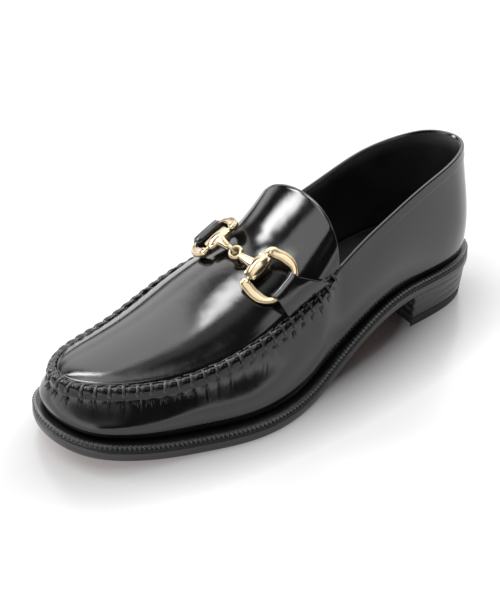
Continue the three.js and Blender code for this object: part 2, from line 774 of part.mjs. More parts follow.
// One half: ring with round shoulders, necks, barrel, tapered arm and an eye at the middle of the shoe
function bitHalf(side) {
  const eyeMiddle = bit.eyeRadius / 2;
  const knobs = [1, -1].map((end) => new THREE.SphereGeometry(bit.knobRadius, 12, 7)
    .scale(1, bit.knobLong, bit.knobTall)
    .translate(bit.barrelAt + shoulder.out, end * shoulder.along, 0));
  const neck = new THREE.CylinderGeometry(bit.neckRadius, bit.neckRadius, 2 * shoulder.along, 8)
    .translate(bit.barrelAt, 0, 0);
  const armStart = eyeMiddle + bit.eyeRadius + bit.armGap;
  const armLength = bit.barrelAt - armStart;
  const arm = new THREE.CylinderGeometry(bit.armTip, bit.armRadius, armLength, 12)
    .rotateZ(Math.PI / 2)
    .scale(1, 1, bit.armTall)
    .translate(armStart + armLength / 2, 0, 0);
  const eye = new THREE.TorusGeometry(bit.eyeRadius, bit.eyeWire, 7, 16);
  if (side > 0) eye.rotateX(Math.PI / 2);
  eye.translate(eyeMiddle, 0, 0);
  const half = joined([ringGeometry(), ...knobs, neck, barrelGeometry(), arm, eye]);
  half.applyMatrix4(bitFrame(side));
  if (side < 0) half.setIndex(Array.from(half.index.array).reverse());
  return half.translate(0, -sole.heelCentre, 0);
}

// Strap: leaves the seam, stands up beside the apron, folds over the ring's bar and turns in
function strapGeometry(side) {
  const skin = new Skin();
  const columns = 8;
  const risers = 4;
  const folds = 8;
  const frame = bitFrame(side);
  const curve = ringCurve();
  const samples = curve.getSpacedPoints(200);
  const reach = Math.max(bit.barWidth, bit.ringHeight) / 2 + strap.clearance + leather.strap / 2;
  const barAxis = new THREE.Vector3().setFromMatrixColumn(frame, 1);
  const paths = [];
  for (let j = 0; j <= columns; j++) {
    const across = j / columns;
    const along = THREE.MathUtils.lerp(strap.barFront, -strap.barRear, across);
    const farHalf = samples.filter((point) => point.x > bit.barrelAt + bit.ringOut / 2);
    const near = farHalf.reduce((best, point) => (
      Math.abs(point.y - along) < Math.abs(best.y - along) ? point : best
    ));
    const bar = near.clone().applyMatrix4(frame);
    const back = bitBack - THREE.MathUtils.lerp(strap.seamFront, strap.seamRear, across);
    const angle = angleOf(rimShare(back));
    const seam = rimPoint(side, angle);
    const flare = across ** 2;
    const seamStep = strap.seamOut + strap.flareOut * flare;
    seam.add(new THREE.Vector3(side * seamStep, 0, strap.seamUp + strap.flareUp * flare));
    const down = seam.clone().sub(bar);
    down.addScaledVector(barAxis, -down.dot(barAxis)).normalize();
    const outside = new THREE.Vector3().crossVectors(down, barAxis).multiplyScalar(side);
    const path = [];
    const foot = bar.clone().addScaledVector(outside, reach);
    for (let k = 0; k < risers; k++) {
      const belly = Math.sin((Math.PI * k) / risers) * (strap.belly + strap.bellyRear * across);
      path.push(seam.clone().lerp(foot, k / risers).addScaledVector(outside, belly));
    }
    for (let k = 0; k <= folds; k++) {
      const turn = (Math.PI * k) / folds;
      const point = bar.clone().addScaledVector(outside, Math.cos(turn) * reach);
      path.push(point.addScaledVector(down, -Math.sin(turn) * reach));
    }
    path.push(bar.clone().addScaledVector(outside, -reach).addScaledVector(down, strap.tuck));
    path.slice(0, risers + 1).forEach((point) => {
      const middle = rimCentre(rimShare(point.y));
      const probes = [-1, 0, 1].map((step) => flankHalf(point.y + step * strap.flankProbe, point.z));
      const flank = Math.max(...probes);
      const least = flank + leather.strap / 2 + strap.flank;
      point.x = middle + side * Math.max(side * (point.x - middle), least);
    });
    paths.push(path);
  }
  const count = paths[0].length;
  const faceNormal = (j, k) => {
    const along = paths[j][Math.min(k + 1, count - 1)].clone().sub(paths[j][Math.max(k - 1, 0)]);
    const across = paths[Math.min(j + 1, columns)][k].clone().sub(paths[Math.max(j - 1, 0)][k]);
    return along.cross(across).normalize().multiplyScalar(side);
  };
  const rows = [];
  for (let k = 0; k < count; k++) {
    const face = [];
    const under = [];
    for (let j = 0; j <= columns; j++) {
      const normal = faceNormal(j, k);
      face.push(paths[j][k].clone().addScaledVector(normal, leather.strap / 2));
      under.push(paths[j][k].clone().addScaledVector(normal, -leather.strap / 2));
    }
    rows.push(skin.addRow([...face, ...under.reverse()]));
  }
  for (let k = 0; k + 1 < count; k++) skin.strip(rows[k], rows[k + 1], true);
  for (let j = 0; j < columns; j++) {
    const far = 2 * columns + 1 - j;
    skin.quad(rows[0][j], rows[0][far], rows[0][far - 1], rows[0][j + 1]);
    skin.quad(rows[count - 1][j], rows[count - 1][j + 1], rows[count - 1][far - 1], rows[count - 1][far]);
  }
  const made = skin.geometry();
  if (solidVolume(made) < 0) made.setIndex(Array.from(made.index.array).reverse());
  return made;
}

// Signed volume, positive when the faces point outwards
function solidVolume(geometry) {
  const at = geometry.getAttribute("position");
  const order = geometry.index.array;
  const corner = (i) => new THREE.Vector3().fromBufferAttribute(at, order[i]);
  let total = 0;
  for (let i = 0; i < order.length; i += 3) total += corner(i).dot(corner(i + 1).cross(corner(i + 2))) / 6;
  return total;
}

const finish = {
  leather: { color: 0x0b0b0d, roughness: 0.16, metalness: 0 },
  edge: { color: 0x1b1b1e, roughness: 0.45, metalness: 0 },
  lining: { color: 0x131314, roughness: 0.6, metalness: 0 },
  rubber: { color: 0x151515, roughness: 0.7, metalness: 0 },
  metal: { color: 0xe6cf9f, roughness: 0.18, metalness: 1 },
};

const loafer = new THREE.Group();
function piece(name, geometry, look) {
  const mesh = new THREE.Mesh(geometry, new THREE.MeshStandardMaterial(finish[look]));
  mesh.name = name;
  loafer.add(mesh);
}

piece("outsole", outsole(), "edge");
piece("welt", welt(), "edge");
piece("insole", insole(), "lining");
piece("heel_stack", heelBlock(sole.liftThickness + gap, shoe.heelHeight - gap), "edge");
piece("top_lift", heelBlock(0, sole.liftThickness), "rubber");
piece("upper", upper(), "leather");
for (const [name, side] of [["medial", 1], ["lateral", -1]]) {
  piece("strap_" + name, strapGeometry(side), "leather");
  piece("bit_" + name, bitHalf(side), "metal");
}

export default loafer;
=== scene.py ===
# Bit loafer, left shoe: the visual model and its studio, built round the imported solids.
# Shapes are worked out in millimetres from the back of the heel and written in metres.
import math

import bmesh
import bpy
import numpy as np
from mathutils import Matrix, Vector


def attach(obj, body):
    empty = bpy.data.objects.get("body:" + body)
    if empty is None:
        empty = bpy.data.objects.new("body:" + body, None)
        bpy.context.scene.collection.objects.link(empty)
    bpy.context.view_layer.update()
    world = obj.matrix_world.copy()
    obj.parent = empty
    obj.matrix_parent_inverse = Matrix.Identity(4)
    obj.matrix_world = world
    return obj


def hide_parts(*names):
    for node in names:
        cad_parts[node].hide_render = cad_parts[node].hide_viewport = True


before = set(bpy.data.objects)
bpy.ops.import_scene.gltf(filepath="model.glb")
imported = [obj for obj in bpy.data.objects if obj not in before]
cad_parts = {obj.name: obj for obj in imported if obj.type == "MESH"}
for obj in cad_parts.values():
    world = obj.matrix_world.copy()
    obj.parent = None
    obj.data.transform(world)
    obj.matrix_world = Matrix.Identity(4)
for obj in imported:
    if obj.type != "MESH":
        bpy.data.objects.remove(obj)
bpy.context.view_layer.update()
print("frame loaded")

# Sizes shared with the solids; gap is the joint between two pieces
shoe = {
    "length": 290, "ballWidth": 103.5, "heelHeight": 22, "backHeight": 95, "instepHeight": 102,
    "toeSpring": 9.9,
}
sole = {
    "thickness": 5.5, "weltThickness": 3.5, "liftThickness": 6, "treadBack": 0.579, "treadFront": 0.731,
    "breast": 0.224, "springPower": 1.9, "heelCentre": 33, "weltReach": 7, "shelf": 6.6,
}
leather = {"wall": 2, "insole": 3, "strap": 1.5, "bulge": 7, "lift": 0.38}
ridge = {"out": 5.2, "drop": 4.8, "height": 2.4, "lean": 0.45}
gap = 0.3
# Tables run from the heel, 0, to the toe, 1; collarFront is where the seam begins
collarFront = 0.461
rim = {"back": 6, "front": 13}
soleTable = {
    "at": [0.03, 0.1, 0.22, 0.35, 0.48, 0.6, 0.69, 0.78, 0.86, 0.93, 0.975],
    "half": [0.207, 0.304, 0.326, 0.328, 0.392, 0.484, 0.496, 0.455, 0.412, 0.344, 0.24],
    "centre": [0.0, 0.0, -0.005, -0.04, -0.054, -0.056, -0.046, -0.013, 0.018, 0.041, 0.047],
    "toeCentre": 0.048,
}
shelfTable = {"at": [0, 0.25, 0.45, 0.6, 1], "share": [0.515, 0.576, 0.788, 0.97, 1]}
rimTable = {
    "at": [0, 0.03, 0.08, 0.19, 0.315, 0.385, 0.461, 0.531, 0.642, 0.753, 0.845, 0.95, 1],
    "half": [0, 0.14, 0.207, 0.262, 0.285, 0.302, 0.328, 0.348, 0.38, 0.357, 0.3, 0.19, 0],
    "centre": [0, 0, 0, -0.012, -0.03, -0.033, -0.03, -0.018, -0.006, 0.003, 0.016, 0.05, 0.065],
    "rise": [1, 1, 0.985, 0.948, 0.856, 0.79, 0.7, 0.615, 0.528, 0.447, 0.41, 0.416, 0.426],
}
bulgeTable = {
    "at": [0, 0.1, 0.22, 0.35, 0.48, 0.6, 0.8, 1],
    "low": [0.43, 0.5, 0.71, 1, 0.86, 0.71, 0.71, 0.79],
    "high": [0.43, 0.43, 0.43, 0.36, 0.36, 0.36, 0.36, 0.43],
}
apronTable = {
    "at": [0.45, 0.517, 0.586, 0.65, 0.724, 0.81, 0.88, 0.93, 0.955],
    "rise": [0.99, 0.795, 0.7, 0.628, 0.553, 0.493, 0.456, 0.43, 0.41],
    "flat": [2.0, 2.0, 2.0, 2.1, 2.2, 2.3, 2.3, 2.3, 2.3],
    "round": [0.34, 0.52, 0.72, 0.8, 0.85, 0.85, 0.85, 0.85, 0.85],
}


# Natural cubic spline through given places
def makeSpline(xs, ys):
    xs, ys = np.asarray(xs, float), np.asarray(ys, float)
    count = len(xs)
    steps, slopes = np.diff(xs), np.diff(ys) / np.diff(xs)
    system, wanted = np.eye(count), np.zeros(count)
    for i in range(1, count - 1):
        system[i, i - 1:i + 2] = steps[i - 1], 2 * (steps[i - 1] + steps[i]), steps[i]
        wanted[i] = 6 * (slopes[i] - slopes[i - 1])
    second = np.linalg.solve(system, wanted)

    def value(x):
        x = np.clip(np.asarray(x, float), xs[0], xs[-1])
        k = np.clip(np.searchsorted(xs, x), 1, count - 1)
        width = xs[k] - xs[k - 1]
        a, b = (xs[k] - x) / width, (x - xs[k - 1]) / width
        bend = (a ** 3 - a) * second[k - 1] + (b ** 3 - b) * second[k]
        return a * ys[k - 1] + b * ys[k] + bend * width * width / 6
    return value


def column(table, name):
    return makeSpline(table["at"], table[name])


def angleOf(share):
    return np.arccos(1 - 2 * np.asarray(share, float))


def shareOf(angle):
    return (1 - np.cos(angle)) / 2


def smooth(low, high, x):
    t = np.clip((np.asarray(x, float) - low) / (high - low), 0, 1)
    return t * t * (3 - 2 * t)


def mix(a, b, share):
    share = np.asarray(share, float)
    if np.ndim(a) > np.ndim(share):
        share = share[..., None]
    return a + (b - a) * share


width = shoe["ballWidth"]
halves, centres = (np.array(soleTable[name]) * width for name in ("half", "centre"))
soleHalf = makeSpline([0, *angleOf(soleTable["at"]), math.pi], [0, *halves, 0])
soleCentre = makeSpline([0, *soleTable["at"], 1], [0, *centres, soleTable["toeCentre"] * width])
shelfShare = column(shelfTable, "share")
rimHalf = makeSpline(angleOf(rimTable["at"]), np.array(rimTable["half"]) * width)
rimCentre = makeSpline(rimTable["at"], np.array(rimTable["centre"]) * width)
rimRise = makeSpline(rimTable["at"], np.array(rimTable["rise"]) * shoe["backHeight"])
bulgeLow, bulgeHigh = column(bulgeTable, "low"), column(bulgeTable, "high")
apronRise, apronFlat, apronRound = (column(apronTable, name) for name in ("rise", "flat", "round"))
rimLength = shoe["length"] - rim["back"] - rim["front"]


def shelfInset(share):
    return shelfShare(share) * sole["shelf"]


def rimShare(back):
    return (back - rim["back"]) / rimLength


# Height of the outsole's underside over the floor
def undersideAt(back):
    share = np.asarray(back, float) / shoe["length"]
    ahead = np.clip((share - sole["treadFront"]) / (1 - sole["treadFront"]), 0, None)
    climb = np.clip((sole["treadBack"] - share) / (sole["treadBack"] - sole["breast"]), 0, 1)
    arch = shoe["heelHeight"] * (1 - np.cos(np.pi * climb)) / 2
    return shoe["toeSpring"] * ahead ** sole["springPower"] + arch


def seatAt(back):
    return undersideAt(back) + sole["thickness"] + sole["weltThickness"]


# Plan of the sole; side is 1 medial and -1 lateral, angle runs from heel to toe
def outline(side, angle):
    share = shareOf(angle)
    return np.stack([soleCentre(share) + side * soleHalf(angle), share * shoe["length"]], -1)


def outward(side, angle):
    step = 0.02
    along = outline(side, np.minimum(angle + step, np.pi)) - outline(side, np.maximum(angle - step, 0))
    along /= np.linalg.norm(along, axis=-1, keepdims=True)
    out = np.stack([side * along[..., 1], -side * along[..., 0]], -1)
    ends = np.isclose(angle, 0) | np.isclose(angle, np.pi)
    pole = np.stack([np.zeros_like(angle), np.where(angle < 1, -1.0, 1.0)], -1)
    return np.where(ends[..., None], pole, out)


def insetOutline(side, angle, distance):
    return outline(side, angle) - outward(side, angle) * np.asarray(distance)[..., None]


def atHeight(plan, height):
    return np.concatenate([plan, np.broadcast_to(height, plan.shape[:-1])[..., None]], -1)


def rimPoint(side, angle):
    share = shareOf(angle)
    across = rimCentre(share) + side * rimHalf(angle)
    return np.stack([across, rim["back"] + rimLength * share, rimRise(share)], -1)


def seamWeight(share):
    return smooth(collarFront - 0.01, collarFront + 0.07, share)


def wallEnds(side, angle):
    share = shareOf(angle)
    out = atHeight(outward(side, angle), 0.0)
    plan = insetOutline(side, angle, shelfInset(share))
    low = atHeight(plan, seatAt(plan[..., 1]) + gap)
    weight = seamWeight(share)[..., None]
    high = rimPoint(side, angle) + weight * (out * ridge["out"] - [0, 0, ridge["drop"]])
    return out, low, high


# Wall as a curve from the welt to the rim; depth moves it inward
def wallPoint(side, angle, t, depth=0.0):
    out, low, high = wallEnds(side, angle)
    share = shareOf(angle)
    t = np.broadcast_to(t, share.shape)[..., None]
    lift = np.zeros_like(low)
    lift[..., 2] = (high[..., 2] - low[..., 2]) * leather["lift"]
    p1 = low + out * bulgeLow(share)[..., None] * leather["bulge"] + lift
    p2 = high + out * bulgeHigh(share)[..., None] * leather["bulge"] - lift
    s = 1 - t
    point = s ** 3 * low + 3 * s * s * t * p1 + 3 * s * t * t * p2 + t ** 3 * high
    along = s * s * (p1 - low) + 2 * s * t * (p2 - p1) + t * t * (high - p2)
    along /= np.linalg.norm(along, axis=-1, keepdims=True)
    level = out * along[..., 2:3]
    level[..., 2] = -(along * out).sum(-1)
    level /= np.linalg.norm(level, axis=-1, keepdims=True)
    return point - level * np.broadcast_to(depth, share.shape)[..., None]


def apronShape(offset, back):
    share = back / shoe["length"]
    return (1 - np.minimum(1, np.abs(offset)) ** apronFlat(share)) ** apronRound(share)


def apronHeight(x, back):
    share = rimShare(back)
    base, top = rimRise(share), apronRise(back / shoe["length"]) * shoe["instepHeight"]
    offset = (x - rimCentre(share)) / rimHalf(angleOf(share))
    return base + np.maximum(top - base, 0) * apronShape(offset, back)


def flankHalf(back, height):
    share = rimShare(back)
    base, top = rimRise(share), apronRise(back / shoe["length"]) * shoe["instepHeight"]
    rise = np.clip((height - base) / (top - base), 0, 1)
    inner = 1 - rise ** (1 / apronRound(back / shoe["length"]))
    return rimHalf(angleOf(share)) * inner ** (1 / apronFlat(back / shoe["length"]))


# Mesh gathered from rows of points, in millimetres
class Skin:
    def __init__(self):
        self.rows = []
        self.faces = []
        self.slots = []
        self.count = 0

    def row(self, points):
        points = np.asarray(points, float).reshape(-1, 3)
        start = self.count
        self.rows.append(points)
        self.count += len(points)
        return np.arange(start, self.count)

    def points(self):
        return np.concatenate(self.rows)

    def strip(self, lower, upper, closed=False, slot=0):
        if closed:
            lower, upper = np.append(lower, lower[0]), np.append(upper, upper[0])
        faces = np.stack([lower[:-1], lower[1:], upper[1:], upper[:-1]], -1).tolist()
        self.faces.extend(faces)
        self.slots.extend([slot] * len(faces))

    def strips(self, rows, closed=False, slot=0):
        for lower, upper in zip(rows, rows[1:]):
            self.strip(lower, upper, closed, slot)

    def fan(self, row, centre):
        middle = int(self.row([centre])[0])
        self.faces.extend([int(a), int(b), middle] for a, b in zip(row, np.roll(row, -1)))
        self.slots.extend([0] * len(row))

    def make(self, name, materials):
        faces = [[v for k, v in enumerate(face) if v != face[k - 1]] for face in self.faces]
        kept = [i for i, face in enumerate(faces) if len(face) > 2]
        mesh = bpy.data.meshes.new(name)
        mesh.from_pydata(toMetres(self.points()).tolist(), [], [faces[i] for i in kept])
        for material in materials:
            mesh.materials.append(material)
        mesh.polygons.foreach_set("material_index", [self.slots[i] for i in kept])
        mesh.polygons.foreach_set("use_smooth", [True] * len(kept))
        mesh.validate()
        mesh.update()
        return addObject(name, mesh)

    # The same for closed shells, with the faces turned to point out
    def makeShells(self, name, materials=()):
        piece = self.make(name, materials)
        work = bmesh.new()
        work.from_mesh(piece.data)
        bmesh.ops.recalc_face_normals(work, faces=work.faces)
        work.to_mesh(piece.data)
        work.free()
        return piece


def toMetres(points):
    return (np.asarray(points) - [0, sole["heelCentre"], 0]) * 0.001


def addObject(name, data):
    added = bpy.data.objects.new(name, data)
    bpy.context.collection.objects.link(added)
    return added


def place(piece, slot, *nodes):
    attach(piece, "root")
    if nodes:
        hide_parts(*nodes)


# Stations round the shoe: heel, medial side, toe, lateral side
def loopOf(perSide):
    corner = float(angleOf(collarFront))
    behind = round(perSide * corner / math.pi)
    angles = np.concatenate([
        np.linspace(0, corner, behind, endpoint=False),
        np.linspace(corner, math.pi, perSide - behind + 1),
    ])
    side = np.concatenate([np.ones(perSide + 1), -np.ones(perSide - 1)])
    return side, np.concatenate([angles, angles[-2:0:-1]])


# Nodes of one tree; an input takes a value or the socket that feeds it
class Graph:
    def __init__(self, tree):
        self.tree = tree

    def new(self, kind, inputs=(), **settings):
        node = self.tree.nodes.new(kind)
        for key, value in settings.items():
            setattr(node, key, value)
        for key, value in dict(inputs).items():
            if isinstance(value, bpy.types.NodeSocket):
                self.tree.links.new(value, node.inputs[key])
            else:
                node.inputs[key].default_value = value
        return node

    def math(self, operation, *values):
        return self.new("ShaderNodeMath", dict(enumerate(values)), operation=operation).outputs[0]

    def spread(self, value, low, high, outLow=0, outHigh=1, shape="LINEAR"):
        inputs = {"Value": value, "From Min": low, "From Max": high, "To Min": outLow, "To Max": outHigh}
        return self.new("ShaderNodeMapRange", inputs, interpolation_type=shape).outputs["Result"]


class Paint(Graph):
    def __init__(self, material):
        super().__init__(material.node_tree)
        self.shader = self.tree.nodes["Principled BSDF"]
        self.place = self.new("ShaderNodeTexCoord").outputs["Object"]

    def noise(self, perMetre, detail=3.0, roughness=0.5):
        inputs = {"Vector": self.place, "Scale": perMetre, "Detail": detail, "Roughness": roughness}
        return self.new("ShaderNodeTexNoise", inputs).outputs["Fac"]

    def blend(self, factor, a, b):
        return self.new("ShaderNodeMix", {0: factor, 6: (*a, 1), 7: (*b, 1)}, data_type="RGBA").outputs[2]

    def bump(self, height, distance, normal=None):
        inputs = {"Height": height, "Distance": distance, "Strength": 1.0}
        if normal is not None:
            inputs["Normal"] = normal
        return self.new("ShaderNodeBump", inputs).outputs["Normal"]

    def link(self, value, name):
        self.tree.links.new(value, self.shader.inputs[name])


def makeMaterial(name, color, roughness, metallic=0.0, coat=0.0, specular=0.5):
    material = bpy.data.materials.new(name)
    material.use_nodes = True
    constants = {
        "Base Color": (*color, 1), "Roughness": roughness, "Metallic": metallic, "Coat Weight": coat,
        "Coat Roughness": 0.05, "Specular IOR Level": specular,
    }
    for socket, value in constants.items():
        material.node_tree.nodes["Principled BSDF"].inputs[socket].default_value = value
    return material


# Box leather: a tight pore grain, slow waves under a glassy polish, and faint rubbing.
# Pores, fine grain, waves and rubbing are counted per metre
leatherLook = {
    "pores": 2100.0, "fine": 5200.0, "waves": 95.0, "rubbing": 38.0, "smoother": 0.8, "rougher": 1.35,
    "paler": 1.7, "rubbedFrom": 0.3, "rubbedTo": 0.75, "paleFrom": 0.35, "paleTo": 0.7,
}


def makeLeather(name, color, roughness, grain, wave, coat=0.0, specular=0.5):
    look = leatherLook
    nodes = Paint(makeMaterial(name, color, roughness, coat=coat, specular=specular))
    pores = nodes.new("ShaderNodeTexVoronoi", {"Vector": nodes.place, "Scale": look["pores"]}, feature="F1")
    fine, slow = nodes.noise(look["fine"], 2.0), nodes.noise(look["waves"], 2.0)
    rubbed = nodes.noise(look["rubbing"], 3.0, 0.6)
    least, most = roughness * look["smoother"], roughness * look["rougher"]
    nodes.link(nodes.spread(rubbed, look["rubbedFrom"], look["rubbedTo"], least, most), "Roughness")
    grained = nodes.bump(fine, grain * 0.5, nodes.bump(pores.outputs["Distance"], grain))
    nodes.link(nodes.bump(slow, wave, grained), "Normal")
    nodes.link(nodes.bump(slow, wave), "Coat Normal")
    paler = tuple(min(1, c * look["paler"] + 0.001) for c in color)
    pale = nodes.spread(rubbed, look["paleFrom"], look["paleTo"])
    nodes.link(nodes.blend(pale, color, paler), "Base Color")
    return bpy.data.materials[name]


black = (0.003, 0.003, 0.0034)
upperLeather = makeLeather("upperLeather", black, 0.11, 0.00001, 0.00008, specular=0.75)
ridgeLeather = makeLeather("ridgeLeather", black, 0.15, 0.00002, 0.0001)
strapLeather = makeLeather("strapLeather", black, 0.12, 0.00001, 0.00006, specular=0.75)
liningLeather = makeLeather("liningLeather", (0.016, 0.016, 0.017), 0.5, 0.00004, 0.0001)
sockLeather = makeLeather("sockLeather", (0.02, 0.02, 0.021), 0.45, 0.00004, 0.0001)
edgePaint = makeLeather("edgePaint", (0.013, 0.013, 0.0145), 0.3, 0.00003, 0.00006, specular=0.8)
cutEdge = makeLeather("cutEdge", (0.05, 0.05, 0.053), 0.4, 0.00003, 0.00003)
# The welt's black leather is split in two: the strip is darkened as painted shade on its shelf, and the teeth
# get a lighter grey copy as painted glints
weltPaintedShadeLeather = makeLeather("weltPaintedShadeLeather", (0.006, 0.006, 0.0065), 0.3, 0.00002, 0.00004, specular=0.4)
toothPaintedGlintLeather = makeLeather("toothPaintedGlintLeather", (0.05, 0.05, 0.053), 0.24, 0.00001, 0.00002, specular=1.0)
treadLeather = makeLeather("treadLeather", (0.3, 0.105, 0.065), 0.3, 0.00003, 0.00008, coat=0.2)
waxThread = makeLeather("waxThread", (0.024, 0.024, 0.026), 0.3, 0.00002, 0.00003, coat=0.2)

goldPlate = makeMaterial("goldPlate", (0.53, 0.42, 0.27), 0.19, metallic=1.0)
goldNodes = Paint(goldPlate)
goldNodes.link(goldNodes.spread(goldNodes.noise(700.0, 4.0, 0.6), 0.3, 0.7, 0.15, 0.23), "Roughness")
goldNodes.link(goldNodes.bump(goldNodes.noise(260.0, 2.0), 0.00001), "Normal")
heelRubber = makeMaterial("heelRubber", (0.02, 0.02, 0.02), 0.6)
rubberNodes = Paint(heelRubber)
rubberNodes.link(rubberNodes.bump(rubberNodes.noise(2600.0), 0.00004), "Normal")
print("materials made")


# Plate between levels (inset and height), closed by ribs from side to side
def plate(name, levels, materials, sideSlot=0, bottomSlot=0, perSide=150, across=24):
    side, angle = loopOf(perSide)
    skin = Skin()
    rows = []
    for inset, height in levels:
        plan = insetOutline(side, angle, inset(shareOf(angle)))
        rows.append(skin.row(atHeight(plan, height(plan[:, 1]))))
    skin.strips(rows[:3], True, bottomSlot)
    skin.strips(rows[2:], True, sideSlot)
    for row, slot, order in ((rows[-1], 0, -1), (rows[0], bottomSlot, 1)):
        medial = row[:perSide + 1]
        lateral = np.concatenate([row[:1], row[:perSide - 1:-1]])
        points = skin.points()
        ribs = [lateral]
        for k in range(1, across):
            rib = skin.row(mix(points[lateral], points[medial], k / across))
            rib[0], rib[-1] = row[0], row[perSide]
            ribs.append(rib)
        ribs.append(medial)
        for before, after in zip(ribs, ribs[1:]):
            skin.strip(after[::order], before[::order], False, slot)
    return skin.make(name, materials)


# Outsole: painted edge, leather tread. Steps are the distance from a face and the inset there
outsoleLook = {
    "footSteps": [(0, 1.2), (0.12, 0.75), (0.4, 0.3), (0.8, 0.0)], "belly": 0.25,
    "topSteps": [(0.5, 0.0), (0.12, 0.25), (0, 0.5)],
}


def outsoleLevels():
    thick, belly = sole["thickness"], outsoleLook["belly"]
    steps = [*outsoleLook["footSteps"], (thick * 0.4, -belly), (thick * 0.7, -belly * 0.8)]
    steps += [(thick - below, inset) for below, inset in outsoleLook["topSteps"]]
    return [(lambda share, i=inset: i, lambda back, r=rise: undersideAt(back) + r) for rise, inset in steps]


place(plate("outsoleLeather", outsoleLevels(), [edgePaint, treadLeather], 0, 1), "sole_leather", "outsole")

# Insole: the board and its sock. Steps are the height over the seat's gap and the inset from the wall
boardSteps = [(0, 0.5), (0.5, 0), (leather["insole"] - 0.6, 0), (leather["insole"], 0.6)]


def boardLevels():
    return [(
        lambda share, i=inset: shelfInset(share) + leather["wall"] + gap + i,
        lambda back, r=rise: seatAt(back) + gap + r,
    ) for rise, inset in boardSteps]


place(plate("insoleSock", boardLevels(), [sockLeather], perSide=120), "insole_leather", "insole")
print("sole plates made")

# Welt: a strip with a bevelled shelf; its teeth follow as a pattern
weltLook = {"perSide": 260, "toothPitch": 2.45, "toothDepth": 1.15, "toothHeight": 1.9, "toothShare": 0.47}


def makeWelt():
    side, angle = loopOf(weltLook["perSide"])
    skin = Skin()
    reach = shelfInset(shareOf(angle)) + sole["weltReach"]
    foot, deep, tall = gap - sole["weltThickness"], weltLook["toothDepth"], weltLook["toothHeight"]
    # inset from the outline and height over the seat
    profile = [
        (reach, foot), (0.45, foot), (0.1, foot + 0.3), (0.05, -tall - 0.25), (0.35, -tall),
        (deep, 0.5 - tall), (deep, -0.25), (deep + 0.3, -0.05), (reach * 0.4, -0.1), (reach * 0.55, -0.35),
        (reach, -0.1),
    ]
    rows = []
    for inset, rise in profile:
        plan = insetOutline(side, angle, inset)
        rows.append(skin.row(atHeight(plan, seatAt(plan[:, 1]) + rise)))
    skin.strips([*rows, rows[0]], True)
    # The strip's darkened leather is painted shade on the shelf
    return skin.make("weltStrip", [weltPaintedShadeLeather])


place(makeWelt(), "welt_leather", "welt")

# Heel: stacked lifts with fine grooves, and the wearing layer. Steps are as the outsole's
heelLook = {
    "taper": 2.2, "inset": 0.8, "lean": 2, "hollow": 3, "lifts": 3, "groove": 0.22, "grooveHalf": 0.25,
    "footSteps": [(0, 0.5), (0.15, 0.15), (0.5, 0.0)], "topSteps": [(0.3, 0.0), (0, 0.2)], "perSide": 60,
    "across": 26,
}


def heelRow(skin, height, extra):
    depth = (shoe["heelHeight"] - height) / shoe["heelHeight"]
    taper = heelLook["inset"] + heelLook["taper"] * depth + extra
    angles = np.linspace(0, float(angleOf(sole["breast"])), heelLook["perSide"])
    medial, lateral = (insetOutline(side * np.ones_like(angles), angles, taper) for side in (1, -1))
    breast = sole["breast"] * shoe["length"]
    across = np.linspace(0, 1, heelLook["across"])[1:-1]
    hollow = heelLook["hollow"] * 4 * across * (1 - across)
    front = breast - heelLook["lean"] * depth - hollow - extra
    line = np.stack([mix(medial[-1, 0], lateral[-1, 0], across), front], -1)
    plan = np.concatenate([medial, line, lateral[:0:-1]])
    plan[:, 1] = np.minimum(plan[:, 1], breast - extra)
    return skin.row(atHeight(plan, height))


def makeHeel(name, low, high, grooves, material):
    skin = Skin()
    half = heelLook["grooveHalf"]
    levels = [(low + above, extra) for above, extra in heelLook["footSteps"]]
    for cut in grooves:
        levels += [(cut - half, 0.0), (cut, heelLook["groove"]), (cut + half, 0.0)]
    levels += [(high - below, extra) for below, extra in heelLook["topSteps"]]
    rows = [heelRow(skin, height, extra) for height, extra in levels]
    skin.strips(rows, True)
    points = skin.points()
    for row in (rows[-1], rows[0][::-1]):
        skin.fan(row, points[row].mean(0))
    return skin.make(name, [material])


stackLow, stackHigh = sole["liftThickness"] + gap, shoe["heelHeight"] - gap
cuts = np.linspace(stackLow, stackHigh, heelLook["lifts"] + 1)[1:-1]
place(makeHeel("heelStack", stackLow, stackHigh, cuts, edgePaint), "heel_leather", "heel_stack")
place(makeHeel("topLift", 0.0, sole["liftThickness"], [], heelRubber), "heel_rubber", "top_lift")
print("welt and heel made")

# Upper: wall and collar, apron and tongue, moccasin stitches
stitchLook = {
    "pitch": 6.9, "start": 0.478, "cellPower": 0.6, "bulge": 0.75, "dip": 0.75, "pinch": 0.5,
    "pinchReach": 2.5,
}
wallLook = {
    "perSide": 600, "lowRows": 14, "highRows": 22, "ridgeRows": 18, "innerRows": 16, "gatherZone": 13.0,
    "gatherHeight": 0.11, "gatherLean": 0.12, "ridgeRound": 2.6, "band": 5, "step": 0.5, "roll": 1.25,
    "bandFoot": 0.12, "bandTop": 0.72,
}
# Foot of the wall, tucked in over the welt: share of the height and depth
featherSteps = [(0.0, 0.9), (0.003, 0.35), (0.012, 0.08)]
# Gathers below the stitches: waves per stitch with their heights, and reach down the wall from collar to toe
gatherWaves = [(2, 0.5), (3, 0.9), (4, 0.8), (5, 0.5), (7, 0.3)]
gatherTable = {
    "at": [0.45, 0.55, 0.65, 0.75, 0.85, 0.95, 1.0],
    "medial": [2.5, 3.0, 3.5, 3.5, 3.0, 3.0, 3.0],
    "lateral": [3.0, 6.0, 8.0, 7.0, 3.5, 3.0, 3.0],
}


